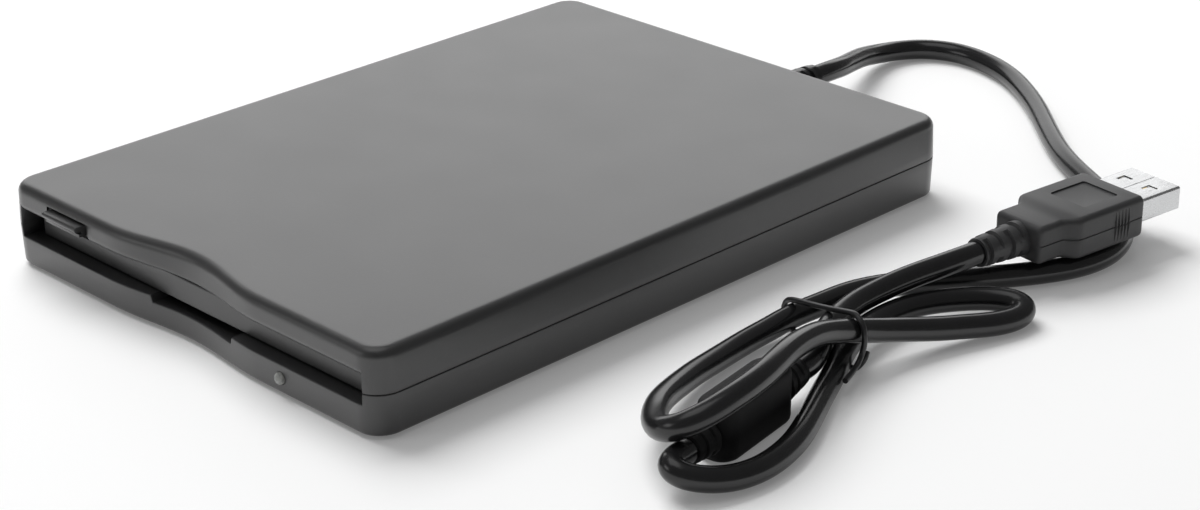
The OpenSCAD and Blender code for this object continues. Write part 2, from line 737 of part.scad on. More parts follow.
module eject_slide() {
    ear = 8;
    pin_clear = cradle_pin_r + guide_gap;
    color("lightslategray")
    difference() {
        union() {
            box([-flange_out, slide_front, slide_z], [flange_out, slide_rear, slide_top]);
            for (s = [-1, 1], y = guide_pin_y)
                box([s > 0 ? flange_in : -flange_out, y - ear / 2, guide_pin_z - drop - 2],
                    [s > 0 ? flange_out : -flange_in, y + eject_travel + ear / 2, slide_top]);
            // Arm to the eject button, with its upturned tab
            box([-button_x - 4, tab_y, slide_z], [-button_x + 4, slide_front + 1, slide_top]);
            box([-button_x - 4, tab_y, slide_z],
                [-button_x + 4, tab_y + sheet_t, button_low + button_tall - 0.1]);
            // Lug for the return spring
            box([slide_spring_x - 1, slide_lug_y, slide_z],
                [slide_spring_x + 1, slide_lug_y + sheet_t, slide_spring_z + 0.5]);
        }
        box([-window_half, hub_y + 14, slide_z - 1],
            [window_half, slide_rear + 1, slide_top + 1]);
        for (x = [-1, 1]) translate([24 * x, -36, slide_z - 1]) cylinder(r = 8, h = 3);
        for (y = guide_pin_y) pin_slot(pin_clear, -flange_out - 1, flange_out + 1,
            [y, guide_pin_z], [eject_travel, -drop]);
    }
}
slide_spring_x = chassis_in - 2;
spring_coil_r = 0.5;
slide_spring_z = slide_top + 0.1 + spring_coil_r + spring_wire_r;
slide_lug_y = hook_y[1] - 8;

module slide_spring() {
    length = slide_lug_y - hook_y[0] - hook_l - eject_travel - 0.5;
    steps = 72;
    end_z = hook_top + spring_wire_r + 0.03 - slide_spring_z;
    wire = concat([[hook_y[0] - slide_lug_y + 1, 0, end_z],
        [hook_y[0] + hook_l - slide_lug_y + 0.5, 0, end_z]],
        [for (p = helix_x(spring_coil_r, 9, length, steps)) p - [length, 0, 0]]);
    color("silver")
    translate([slide_spring_x, slide_lug_y - 0.2, slide_spring_z]) rotate([0, 0, 90])
        tube(wire, spring_wire_r, 6);
}

module spindle_rotor() {
    color("silver")
    translate([0, hub_y, 0]) difference() {
        translate([0, 0, board_top + 0.2]) cylinder(r = rotor_r, h = rotor_top - board_top - 0.2);
        translate([0, 0, board_top])
            cylinder(r = rotor_r - rotor_rim, h = rotor_top - sheet_t - board_top);
        cylinder(r = shaft_r, h = case_h);
        translate([drive_pin_at, 0, 0]) cylinder(r = 1, h = case_h);
    }
}

module spindle_hub() {
    color("white")
    translate([0, hub_y, 0]) {
        translate([0, 0, board_z]) cylinder(r = shaft_r, h = lip_z + 0.2 - board_z);
        difference() {
            translate([0, 0, rotor_top]) cylinder(r = 7, h = 0.3);
            cylinder(r = shaft_r - cut, h = case_h);
        }
    }
}

module drive_pin() {
    color("gold")
    translate([drive_pin_at, hub_y, rotor_top - sheet_t]) cylinder(r = 1, h = 1.8);
}

module spindle_coils() {
    count = 9;
    color("chocolate")
    translate([0, hub_y, board_top]) for (i = [0:count - 1]) rotate([0, 0, 360 * i / count])
        translate([rotor_r - 4.8, 0, 0]) difference() {
            cylinder(r = 2.9, h = 0.75);
            translate([0, 0, -1]) cylinder(r = 1.1, h = 3);
        }
}

module spindle_bearing() {
    color("goldenrod")
    translate([0, hub_y, board_z]) difference() {
        cylinder(r = shaft_r + bearing_gap + bearing_wall, h = board_t + 0.9);
        translate([0, 0, -1]) cylinder(r = shaft_r + bearing_gap, h = 5);
    }
}

module head_carriage() {
    rod_hole = rod_r + rod_gap;
    base = chassis_top + 0.35;
    top = arm_z - 0.7;
    rear = carriage_y + carriage_l;
    color("dimgray")
    difference() {
        union() {
            box([-arm_half, head_y - 4, chassis_z + 0.1], [arm_half, rear, tongue_top]);
            box([rod_left - 3, carriage_y, base], [rod_right + 3, rear, rod_z + 3]);
            box([-arm_half - 2.1, carriage_y, base], [arm_half + 2.1, rear, top]);
            // Arm that follows the screw
            box([rod_right + 2, carriage_y + 1.5, rod_z - 1],
                [screw_x - screw_core_r - thread_r - 0.35, rear - 1.5, rod_z + 1]);
            // Cheeks round the upper arm's pivot
            for (s = [-1, 1]) box([s > 0 ? arm_half + 0.3 : -arm_half - 2.1, carriage_y, base],
                [s > 0 ? arm_half + 2.1 : -arm_half - 0.3, rear, arm_pivot_z + 1.1]);
        }
        for (x = [rod_left, rod_right]) rod_y(rod_hole, carriage_y - 1, rear + 1, x, rod_z);
        rod_x(arm_pin_r + 0.05, -arm_half - 5, arm_half + 5, arm_pivot_y, arm_pivot_z);
    }
}

module lower_head() {
    color("black")
    box([-1.6, head_y - 2, tongue_top], [1.6, head_y + 2, lower_head_top]);
}

module head_arm() {
    tip = head_y - 3;
    color("lightgray")
    union() {
        translate([0, 0, arm_z]) linear_extrude(height = arm_t)
            polygon([[-3, tip], [3, tip], [arm_half, arm_pivot_y - 12],
                [arm_half, arm_pivot_y + 1.4], [-arm_half, arm_pivot_y + 1.4],
                [-arm_half, arm_pivot_y - 12]]);
        rod_x(arm_pin_r, -arm_half - 1.8, arm_half + 1.8, arm_pivot_y, arm_pivot_z);
    }
}

module upper_head() {
    color("black")
    box([-1.6, head_y - 2, upper_head_z], [1.6, head_y + 2, arm_z]);
}

module guide_rods() {
    color("silver")
    for (x = [rod_left, rod_right])
        rod_y(rod_r, bracket_y - 0.3, chassis_rear, x, rod_z);
}

module lead_screw() {
    turns = (chassis_rear - bracket_y - 6) / screw_lead;
    thread_l = turns * screw_lead;
    color("silver")
    union() {
        rod_y(screw_core_r, bracket_y - 0.2, chassis_rear + 2, screw_x, rod_z);
        translate([screw_x, bracket_y + 2, rod_z]) rotate([0, 0, 90])
            tube(helix_x(screw_core_r, turns, thread_l, round(turns * 8)), thread_r, 6);
    }
}

module stepper_motor() {
    length = inner_rear - chassis_rear - 3;
    color("gray")
    difference() {
        union() {
            rod_y(stepper_r, chassis_rear, chassis_rear + length, screw_x, rod_z);
            box([screw_x - 3, chassis_rear, rod_z + stepper_r - 1.5],
                [screw_x + 3, chassis_rear + length - 2, rod_z + stepper_r + 0.6]);
        }
        rod_y(screw_core_r + 0.05, chassis_rear - 1, chassis_rear + 2.4, screw_x, rod_z);
    }
}

// ---- Boards ----

module main_board() {
    color(board_green)
    difference() {
        box([-mech_x + 3, chassis_front + 1.2, board_z], [mech_x - 3, disk_edge, board_top]);
        translate([0, hub_y, 0])
            cylinder(r = shaft_r + bearing_gap + bearing_wall, h = case_h);
        for (s = [-1, 1]) translate([s * plunger_x, plunger_y, 0])
            cylinder(r = plunger_r + 0.2, h = case_h);
    }
}

// Chips on the main board: left, front, right, rear, height
chips = [[-32, -40, -22, -30, 1.1], [-32, -20, -22, -8, 1.1],
    [20, -42, 31, -34, 1], [21, -28, 25, -22, 0.9]];
module board_chips() {
    color("#202020")
    for (c = chips) box([wide * c[0], deep * c[1], board_top],
        [wide * c[2], deep * c[3], board_top + c[4]]);
}

switch_top = board_top + 1.5;
module switch_block() {
    color("white")
    for (s = [-1, 1]) translate([s * plunger_x, plunger_y, board_top]) difference() {
        box([-2.6, -2.8, 0], [2.6, 2.8, switch_top - board_top]);
        translate([0, 0, -1]) cylinder(r = plunger_r + 0.08, h = 5);
    }
}

module plunger(s) {
    low = board_z + 1.5;
    color("ivory")
    translate([s * plunger_x, plunger_y, low]) {
        cylinder(r = plunger_r, h = plunger_top - plunger_r - low);
        translate([0, 0, plunger_top - plunger_r - low]) sphere(r = plunger_r);
    }
}
module left_plunger() {
    plunger(-1);
}
module right_plunger() {
    plunger(1);
}

module interface_board() {
    color(board_green)
    box([iface_x0, iface_y0, iface_z], [iface_x1, iface_y1, iface_z + board_t]);
}

iface_top = iface_z + board_t;
module interface_parts() {
    color("#202020")
    union() {
        box([-12, iface_y0 + 1.5, iface_top], [-5, iface_y0 + 7, iface_top + 1]);
        box([-20, iface_y0 + 3, iface_top], [-15, iface_y0 + 6, iface_top + 1.6]);
        box([-4, iface_y0 + 2, iface_top], [-3, iface_y0 + 3.5, iface_top + 0.6]);
        for (x = [-26, -30.5]) translate([x, iface_y0 + 5, iface_top])
            cylinder(r = 1.6, h = 3.2);
    }
}

// Flat cable: a bent strip drawn from the side, from the interface board down to the main board
ribbon_x = wide * -34;
ribbon_w = wide * 12;
module ribbon_cable() {
    t = 0.12;
    y0 = disk_edge - 3;
    low = board_top;
    high = iface_top;
    color("whitesmoke")
    translate([ribbon_x, 0, 0]) rotate([90, 0, 90]) linear_extrude(height = ribbon_w)
        polygon([[y0, low], [chassis_rear + 0.4, low], [chassis_rear + 0.4, high],
            [iface_y0 + 2.5, high], [iface_y0 + 2.5, high + t],
            [chassis_rear + 0.4 - t, high + t], [chassis_rear + 0.4 - t, low + t], [y0, low + t]]);
}

module mech_screws() {
    color(steel)
    for (s = [-1, 1], y = mech_y) translate([s * mech_x, y, 0]) {
        translate([0, 0, chassis_z])
            cylinder(r1 = mech_screw_r, r2 = mech_screw_r + 0.78, h = chassis_t - 0.02);
        translate([0, 0, floor_in - 0.4]) cylinder(r = mech_screw_r, h = chassis_z - floor_in + 0.5);
    }
}

// ---- Cord, block and plug ----

module cord_wires() {
    reach = [gland_x, inner_rear - gland_collar, joint_z];
    color("crimson")
    for (i = [0:3]) let (from = reach + [0.8 * (i - 1.5), 0, 0.5 * (i - 1.5)],
        pad = [iface_x1 - 1, iface_y0 + 6 - 1.6 * i, iface_top + wire_r],
        bend = from - [0.4, 1.2 + 0.7 * i, 0])
        tube([from, from - [0, 0.6, 0], bend, (bend + pad) / 2 + [0, 0, 0.3],
            pad + [0.6, 0, 0], pad - [0.6, 0, 0]], wire_r, 6);
}

wire_r = 0.25;
gland_collar = 1.6;
gland_end_r = 2.7;
gland_ribs = 6;
module cord_gland() {
    pitch = (gland_l - 2) / gland_ribs;
    r_at = function (l) gland_r + (gland_end_r - gland_r) * l / gland_l;
    profile = concat([[0, -wall - gland_collar], [gland_r, -wall - gland_collar], [gland_r, -wall],
        [gland_neck_r - 0.03, -wall], [gland_neck_r - 0.03, 0], [gland_r + 0.3, 0],
        [gland_r + 0.3, 1.2]],
        [for (i = [0:gland_ribs - 1]) let (l = 2 + pitch * i) each
            [[r_at(l) - 0.4, l - 0.5], [r_at(l) - 0.4, l], [r_at(l), l + 0.15],
                [r_at(l + pitch), l + pitch - 0.7]]],
        [[gland_end_r - 0.1, gland_l], [0, gland_l]]);
    color(cord_black)
    translate([gland_x, rear_y, joint_z]) rotate([-90, 0, 0]) rotate_extrude() polygon(profile);
}

cord_sides = 8;
module cord_lead() {
    color(cord_black) tube(lead_route, cord_r, cord_sides);
}
module cord_bundle() {
    color(cord_black) tube(bundle_route, cord_r, cord_sides);
}
module cord_tail() {
    color(cord_black) tube(tail_route, cord_r, cord_sides);
}

// Least gap of the bundle to itself, past the stretch that follows a point directly
function along(p) = [for (i = 0, s = 0; i < len(p);
    i = i + 1, s = i < len(p) ? s + norm(p[i] - p[i - 1]) : s) s];
bundle_s = along(bundle_route);
bundle_gap = min([for (i = [0:len(bundle_route) - 2]) for (j = [i + 1:len(bundle_route) - 1])
    if (bundle_s[j] - bundle_s[i] > 4 * cord_d)
        norm(bundle_route[j] - bundle_route[i])]) - cord_d;
tail_gap = min([for (a = tail_route) for (b = bundle_route)
    if (norm(a - tail_route[0]) > 2 * cord_d) norm(a - b)]) - cord_d;
echo(bundle_gap = bundle_gap, tail_gap = tail_gap);
echo(bundle_length = bundle_s[len(bundle_s) - 1]);

block_l = norm(block_to - block_from);
relief_l = 6;
relief_r = 3.2;
module cord_block() {
    turn = atan2(block_to.y - block_from.y, block_to.x - block_from.x);
    color(cord_black)
    translate([block_from.x, block_from.y, 0]) rotate([0, 0, turn]) union() {
        soft_block([relief_l, -block_t / 2, 0], [block_l - relief_l + 0.5, block_t / 2, block_h],
            3.4, 1);
        for (x = [0, block_l - relief_l]) translate([x, 0, block_from.z]) rotate([0, 90, 0])
            cylinder(r1 = x > 0 ? relief_r : cord_r + 0.3, r2 = x > 0 ? cord_r + 0.3 : relief_r,
                h = relief_l);
        for (i = [0:4]) box([relief_l + 5 + 2.6 * i, -1.7, block_h - 1],
            [relief_l + 6.2 + 2.6 * i, 1.7, block_h + 0.3]);
    }
}

// The tie goes once round the bundle and its two ends cross at the right
tie_route = [
    [90, 2.9, 3.9], [90.1, 2.2, 2.8], [89.6, 1.6, 1.6], [88.6, 1.5, 0.7], [86.8, 1.8, 0.52],
    [83, 2.7, 0.52], [77, 4.1, 0.52], [71.5, 5.4, 0.55], [70, 5.8, 1], [69.1, 6, 1.9],
    [68.7, 6, 3], [68.8, 6, 4.2], [69.5, 5.9, 5.4], [71, 5.5, 6.2], [74, 4.8, 7], [78, 3.8, 8],
    [81.5, 3, 8.9], [85, 2.2, 9.9], [87.9, 1.5, 10.65], [89.3, 1.1, 10.5], [90.6, 0.8, 9.6],
    [91.2, 0.6, 8], [91.3, 0.5, 6.7], [91.2, 0.3, 5.4], [91.2, -0.2, 4.3], [91.4, -1.3, 3.4],
    [92.2, -3.8, 2.9], [93.2, -6.5, 2.9]];
module twist_tie() {
    color(cord_black) tube(tie_route, tie_r, 6);
}

module at_plug() {
    translate(plug_at) rotate([0, 0, plug_turn]) children();
}

neck_l = 9;
neck_w = 11.2;
shoulder_l = 3;
module plug_grip() {
    color(dark_grey)
    at_plug() difference() {
        union() {
            soft_block([-plug_w / 2, -plug_l + neck_l, -plug_t / 2], [plug_w / 2, 0, plug_t / 2],
                1.6, 1);
            soft_block([-neck_w / 2, -plug_l, -plug_t / 2 + 0.4],
                [neck_w / 2, -plug_l + neck_l + shoulder_l, plug_t / 2 - 0.4], 1.4, 1);
            rotate([90, 0, 0]) translate([0, 0, plug_l]) rotate_extrude()
                polygon(concat([[0, -1], [3.4, -1]],
                    [for (i = [0:4]) let (l = 2 * i, r = 3.3 - 0.12 * i) each
                        [[r, l + 0.2], [r, l + 1.3], [r - 0.5, l + 1.4], [r - 0.5, l + 2]]],
                    [[0, plug_relief_l]]));
            // Grip ribs on the narrow sides
            for (s = [-1, 1], i = [0:4])
                translate([s * plug_w / 2, -4.2 - 0.85 * i, 0])
                    box([-0.3, -0.2, -plug_t / 2 + 1.4], [0.3, 0.2, plug_t / 2 - 1.4]);
        }
        // Bare label recess on the broad faces
        for (z = [-plug_t / 2, plug_t / 2])
            box([-4.2, -12.5, z - 0.3], [4.2, -3.5, z + 0.3]);
    }
}

shell_wall = 0.3;
module plug_shell() {
    color("gainsboro")
    at_plug() difference() {
        box([-shell_w / 2, 0, -shell_t / 2], [shell_w / 2, shell_l, shell_t / 2]);
        box([-shell_w / 2 + shell_wall, 0.4, -shell_t / 2 + shell_wall],
            [shell_w / 2 - shell_wall, shell_l + 1, shell_t / 2 - shell_wall]);
        for (s = [-1, 1]) box([s * 3 - 1.15, 5.2, -shell_t],
            [s * 3 + 1.15, 7.5, shell_t]);
    }
}

tongue_t = 1.9;
module plug_tongue() {
    color("#222222")
    at_plug() box([-shell_w / 2 + shell_wall, 0.4, -shell_t / 2 + shell_wall],
        [shell_w / 2 - shell_wall, shell_l - 0.4, -shell_t / 2 + shell_wall + tongue_t]);
}

module plug_contacts() {
    color("gold")
    at_plug() for (i = [0:3]) {
        x = 2.25 * (i - 1.5);
        box([x - 0.6, 1.5, -shell_t / 2 + shell_wall + tongue_t],
            [x + 0.6, shell_l - 1.2, -shell_t / 2 + shell_wall + tongue_t + 0.15]);
    }
}

top_cover();
bottom_shell();
door_flap();
door_spring();
eject_button();
status_led();
rubber_feet();
case_screws();
chassis();
disk_cradle();
eject_slide();
slide_spring();
shutter_lever();
spindle_rotor();
spindle_hub();
drive_pin();
spindle_coils();
spindle_bearing();
head_carriage();
lower_head();
head_arm();
upper_head();
guide_rods();
lead_screw();
stepper_motor();
main_board();
board_chips();
switch_block();
left_plunger();
right_plunger();
ribbon_cable();
interface_board();
interface_parts();
mech_screws();
cord_wires();
cord_gland();
cord_lead();
cord_bundle();
cord_tail();
cord_block();
twist_tie();
plug_grip();
plug_shell();
plug_tongue();
plug_contacts();
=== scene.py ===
# %% [markdown]
# # An external floppy drive with its cord, dressed in Blender
# The drive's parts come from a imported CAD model: their sizes, places and joints are already true.
# This lesson gives each part that shows a finer surface, worked out with numpy, and a finish
# built from shader nodes. Nothing is placed by eye: every new piece stays where its CAD part is.

# %% Load the fixed frame
import json
import math
import bpy
import bmesh
import numpy as np
from mathutils import Matrix, Vector


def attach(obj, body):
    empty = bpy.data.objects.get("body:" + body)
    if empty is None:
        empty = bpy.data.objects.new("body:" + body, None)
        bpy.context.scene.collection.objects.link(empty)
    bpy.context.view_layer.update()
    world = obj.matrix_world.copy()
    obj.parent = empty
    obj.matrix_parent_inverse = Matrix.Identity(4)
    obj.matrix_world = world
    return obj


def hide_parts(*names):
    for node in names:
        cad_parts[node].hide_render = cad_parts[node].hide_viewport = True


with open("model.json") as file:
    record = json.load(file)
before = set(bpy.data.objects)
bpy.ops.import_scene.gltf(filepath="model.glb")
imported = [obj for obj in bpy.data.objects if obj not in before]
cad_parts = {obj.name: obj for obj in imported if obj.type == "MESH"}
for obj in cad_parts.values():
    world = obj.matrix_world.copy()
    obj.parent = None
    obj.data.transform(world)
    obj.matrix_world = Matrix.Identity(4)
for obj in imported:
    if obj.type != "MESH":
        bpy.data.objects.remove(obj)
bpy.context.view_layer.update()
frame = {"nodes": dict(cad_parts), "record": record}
MM = 0.001

# %% [markdown]
# ## The camera
# A product photograph is taken with a long lens from a little way off, so that parallel edges
# stay nearly parallel. The camera is placed by where it stands and by the direction that it
# looks back along: an angle round the object and an angle above the table. A small roll
# levels the picture as the photographer held it.

# %% Camera
CAMERA_AT = (0.3402, -0.3066, 0.2022)
CAMERA_ROUND, CAMERA_ABOVE, CAMERA_ROLL = 45.367, 24.499, -0.527
CAMERA_LENS = 79.45


def direction(around, above):
    """Unit vector from the object to a place, from the angle round it and the angle above the table."""
    a, e = math.radians(around), math.radians(above)
    return Vector((math.sin(a) * math.cos(e), -math.cos(a) * math.cos(e), math.sin(e)))


def looking_back(around, above, roll=0.0):
    """Turn of a camera or lamp that faces back along a direction: level side, up, and the direction."""
    back = direction(around, above)
    side = Vector((-back.y, back.x, 0)).normalized()
    up = back.cross(side)
    c, s = math.cos(math.radians(roll)), math.sin(math.radians(roll))
    return Matrix((c * side + s * up, c * up - s * side, back)).transposed().to_4x4()


def add_camera():
    """A camera at its place, looking back along its direction."""
    camera = bpy.data.objects.new("camera", bpy.data.cameras.new("camera"))
    camera.matrix_world = Matrix.Translation(CAMERA_AT) @ looking_back(
        CAMERA_ROUND, CAMERA_ABOVE, CAMERA_ROLL)
    camera.data.lens = CAMERA_LENS
    camera.data.clip_start, camera.data.clip_end = 0.01, 20
    bpy.context.scene.collection.objects.link(camera)
    bpy.context.scene.camera = camera


add_camera()
bpy.context.scene.view_settings.view_transform = "Standard"

# %% [markdown]
# ## Surfaces from arrays
# A mesh is a list of points and a list of faces. A surface with two parameters, such as "how far
# round" and "how high", is a grid of points, and its faces follow from the grid alone. So each
# shape below is one formula that fills a whole array, with no loop over its points. Working in
# millimetres keeps the numbers readable; they become metres when the mesh is made.

# %% Grids and how they join
def grid_faces(rows, cols, joined_rows=False):
    """Four corners of each cell of a grid whose last column joins the first, and so may its rows."""
    r, c = np.meshgrid(np.arange(rows - (not joined_rows)), np.arange(cols), indexing="ij")
    n, s = (c + 1) % cols, (r + 1) % rows
    return np.stack([r * cols + c, r * cols + n, s * cols + n, s * cols + c], -1).reshape(-1, 4)


def closed_form(points):
    """Points (rows, columns, 3) as a closed form: rings of cells, and one flat face at each end."""
    rows, cols = points.shape[:2]
    ends = [np.arange(cols)[::-1].tolist(), ((rows - 1) * cols + np.arange(cols)).tolist()]
    return points.reshape(-1, 3), grid_faces(rows, cols).tolist() + ends


def ring_form(points):
    """Points (rows, columns, 3) as a ring with a hole: the last row joins the first."""
    return points.reshape(-1, 3), grid_faces(*points.shape[:2], joined_rows=True).tolist()


def together(*forms):
    """Several forms as one: their points in one array, their faces renumbered to match."""
    starts = np.cumsum([0] + [len(points) for points, _ in forms]).tolist()
    faces = [[i + start for i in face] for (_, own), start in zip(forms, starts) for face in own]
    return np.vstack([points for points, _ in forms]), faces


def placed(points, at=(0, 0, 0), x=(1, 0, 0), y=(0, 1, 0), z=(0, 0, 1)):
    """Points in a place: each coordinate goes along its own direction, from the place's origin."""
    return np.asarray(at, float) + points @ np.array([x, y, z], float)


def put(form, **place):
    """A whole form in its place."""
    return placed(form[0], **place), form[1]


print("a 3 by 4 grid has", len(grid_faces(3, 4)), "cells")

# %% [markdown]
# Rounded boxes are everywhere on moulded parts. One is a stack of rounded rectangles: each level
# has a height and an inset, and the insets of the first and last levels follow a quarter circle,
# which eases the top and bottom edges. Bosses, lenses and strain reliefs are turned parts: a
# profile of radius against height, carried round an axis.

# %% Rounded boxes and turned parts
def round_rectangle(width, depth, radius, steps=8):
    """Ring of points round a rectangle with quarter circles at its corners, counter-clockwise."""
    angle = ((np.arange(4) * np.pi / 2)[:, None] + np.linspace(0, np.pi / 2, steps)).ravel()
    sx, sy = np.repeat([1, -1, -1, 1], steps), np.repeat([1, 1, -1, -1], steps)
    return np.stack([sx * (width / 2 - radius) + radius * np.cos(angle),
                     sy * (depth / 2 - radius) + radius * np.sin(angle)], -1)


def eased_levels(low, high, ease, steps=5):
    """Heights and insets of a side wall: a quarter circle at the bottom, and one at the top."""
    a = np.linspace(0, np.pi / 2, steps)
    bottom = np.stack([low + ease * (1 - np.sin(a)), ease * (1 - np.cos(a))], -1)[::-1]
    top = np.stack([high - ease * (1 - np.sin(a)), ease * (1 - np.cos(a))], -1)
    return np.vstack([bottom, top])


def soft_box(low, high, radius, ease, steps=6):
    """A box between two corners, with upright corners of a radius and eased top and bottom edges."""
    low, high = np.asarray(low, float), np.asarray(high, float)
    width, depth = high[0] - low[0], high[1] - low[1]
    rings = [np.column_stack([
        round_rectangle(width - 2 * inset, depth - 2 * inset, max(radius - inset, 0.02), steps),
        np.full(4 * steps, z)]) for z, inset in eased_levels(low[2], high[2], ease)]
    return closed_form(np.stack(rings) + np.append((low[:2] + high[:2]) / 2, 0))


def round_about(profile, sides=48):
    """Rings of points: radius times (cos, sin) of each angle, at the profile's heights."""
    profile = np.asarray(profile, float)
    a = np.arange(sides) * 2 * np.pi / sides
    ring = profile[:, None, :1] * np.stack([np.cos(a), np.sin(a)], -1)
    return np.concatenate([ring, np.broadcast_to(profile[:, None, 1:], ring.shape[:2] + (1,))], -1)


def turned(profile, sides=48, **place):
    """A solid turned part from (radius, height) pairs, first to last."""
    return closed_form(placed(round_about(profile, sides), **place))


def sleeve(bore, outer, low, high, **place):
    """A turned tube between two heights, with a bore and an outer radius."""
    profile = [(bore, low), (outer, low), (outer, high), (bore, high)]
    return ring_form(placed(round_about(profile, 40), **place))


def path_frame(path, upright=(0, 0, 1)):
    """Heading, side and over vectors at each point of a path; side stays square to an upright."""
    heading = np.gradient(path, axis=0)
    heading /= np.linalg.norm(heading, axis=1, keepdims=True)
    side = np.cross(heading, upright)
    side /= np.linalg.norm(side, axis=1, keepdims=True)
    return heading, side, np.cross(side, heading)


def swept(path, section, upright=(0, 0, 1)):
    """A section (side, over) carried along a path: point = path + s * side + o * over."""
    _, side, over = path_frame(path, upright)
    s, o = np.moveaxis(np.asarray(section, float), -1, 0)
    return closed_form(path[:, None] + s[..., None] * side[:, None] + o[..., None] * over[:, None])


def circle(radius, sides=24):
    """Ring of points of a radius."""
    a = np.arange(sides) * 2 * np.pi / sides
    return np.stack([radius * np.cos(a), radius * np.sin(a)], -1)


def smooth_path(points, per_span=8):
    """Catmull-Rom curve: a cubic between two points, with the slope at each point half the way
    from the point before it to the point after it."""
    p = np.asarray(points, float)
    p = np.vstack([2 * p[0] - p[1], p, 2 * p[-1] - p[-2]])
    a, b, c, d = (p[i:len(p) - 3 + i, None] for i in range(4))
    t = np.arange(per_span)[None, :, None] / per_span
    curve = b + 0.5 * t * (c - a + t * (2 * a - 5 * b + 4 * c - d + t * (3 * (b - c) + d - a)))
    return np.vstack([curve.reshape(-1, 3), p[-2]])


# %% [markdown]
# Holes are the one thing that a grid can't give. There a cutter's solid is taken out of a form
# with Blender's exact Boolean, and the result is read back as points and faces. It is worth its
# time only where a hole crosses a wall, so bores that stand alone are turned with their hole.

# %% Cutting holes, and making objects
def mesh_of(name, form, scale=1.0):
    """A mesh from a form, with all its faces turned outward."""
    mesh = bpy.data.meshes.new(name)
    mesh.from_pydata((np.asarray(form[0]) * scale).tolist(), [], form[1])
    work = bmesh.new()
    work.from_mesh(mesh)
    bmesh.ops.recalc_face_normals(work, faces=work.faces)
    work.to_mesh(mesh)
    work.free()
    return mesh


def cut_away(form, *cutters):
    """A form with each cutter taken out of it."""
    objects = [bpy.data.objects.new("work", mesh_of("work", f)) for f in (form, *cutters)]
    for item in objects:
        bpy.context.scene.collection.objects.link(item)
    for tool in objects[1:]:
        step = objects[0].modifiers.new("cut", "BOOLEAN")
        step.operation, step.solver, step.object = "DIFFERENCE", "EXACT", tool
    result = objects[0].evaluated_get(bpy.context.evaluated_depsgraph_get()).to_mesh()
    points = np.empty(len(result.vertices) * 3)
    result.vertices.foreach_get("co", points)
    faces = [list(face.vertices) for face in result.polygons]
    for item in objects:
        bpy.data.meshes.remove(item.data)
    return points.reshape(-1, 3), faces


SHARP_ANGLE = math.radians(35)
REPLACED = set()


def make_piece(name, form, body, slot, stands_for):
    """A mesh object in metres, smooth except where it bends by more than the sharp angle. It rides
    on a body, stands for the CAD parts that it replaces, and has the finish of a material slot."""
    mesh = mesh_of(name, form, MM)
    mesh.shade_smooth()
    mesh.set_sharp_from_angle(angle=SHARP_ANGLE)
    mesh.materials.append(FINISHES[slot])
    piece = bpy.data.objects.new(name, mesh)
    bpy.context.scene.collection.objects.link(piece)
    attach(piece, body)
    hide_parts(*stands_for)
    REPLACED.update(stands_for)
    print(name, "has", len(mesh.polygons), "faces")
    return piece


# %% [markdown]
# ## Finishes from nodes
# A finish is more than a colour. Moulded plastic has a spark-eroded grain, so light breaks up on
# it; metal has the lines of the roll or the brush; both are a little uneven from place to place.
# Each finish below is one Principled shader. Noise on Object coordinates drives its colour and
# roughness, and finer noise raises a bump, so that the pattern has its true size in metres.

# %% Small node helpers
def add_node(tree, kind, inputs=(), **settings):
    """A node with its settings and inputs; an input is a value, or another node's output."""
    node = tree.nodes.new(kind)
    for key, value in settings.items():
        setattr(node, key, value)
    for key, value in dict(inputs).items():
        if isinstance(value, bpy.types.NodeSocket):
            tree.links.new(value, node.inputs[key])
        else:
            node.inputs[key].default_value = value
    return node


def place_of(tree, stretch=(1, 1, 1)):
    """Object coordinates, stretched along the axes."""
    spot = add_node(tree, "ShaderNodeTexCoord").outputs["Object"]
    return add_node(tree, "ShaderNodeMapping", {"Vector": spot, "Scale": stretch}).outputs["Vector"]


def noise(tree, place, size, detail=2.0, roughness=0.5):
    """Noise whose blots are about as large as a size in millimetres."""
    return add_node(tree, "ShaderNodeTexNoise", {
        "Vector": place, "Scale": 1 / (size * MM), "Detail": detail,
        "Roughness": roughness}).outputs["Fac"]


def spread(tree, value, low, high, first=0.3, last=0.7):
    """A value from first to last, spread from low to high."""
    return add_node(tree, "ShaderNodeMapRange", {
        "Value": value, "From Min": first, "From Max": last,
        "To Min": low, "To Max": high}).outputs["Result"]


def blend_colours(tree, share, first, second):
    """One colour turning into another as the share goes from 0 to 1."""
    mix = add_node(tree, "ShaderNodeMix", data_type="RGBA")
    for socket, value in ((0, share), (6, first), (7, second)):
        if isinstance(value, bpy.types.NodeSocket):
            tree.links.new(value, mix.inputs[socket])
        else:
            mix.inputs[socket].default_value = (*value, 1) if len(value) == 3 else value
    return mix.outputs[2]


def bump(tree, height, depth, before=None):
    """A bump as deep as a number of millimetres, over another bump if there is one."""
    inputs = {"Height": height, "Distance": depth * MM, "Strength": 1.0}
    if before is not None:
        inputs["Normal"] = before
    return add_node(tree, "ShaderNodeBump", inputs).outputs["Normal"]


FINISHES = {}


def new_finish(slot):
    """A material for a slot, with its node tree and its shader."""
    material = bpy.data.materials.new(slot)
    material.use_nodes = True
    FINISHES[slot] = material
    return material.node_tree, material.node_tree.nodes["Principled BSDF"]


def set_shader(tree, shader, **inputs):
    """Sets or links the shader's inputs; an underscore in a name stands for a space."""
    for key, value in inputs.items():
        socket = shader.inputs[key.replace("_", " ")]
        if isinstance(value, bpy.types.NodeSocket):
            tree.links.new(value, socket)
        else:
            socket.default_value = (*value, 1) if socket.type == "RGBA" else value


# %% [markdown]
# Moulded plastic: a dark base colour, a grain of about a third of a millimetre, broad faint
# clouds where the mould was polished unevenly, and a few lighter specks of dust and wear.

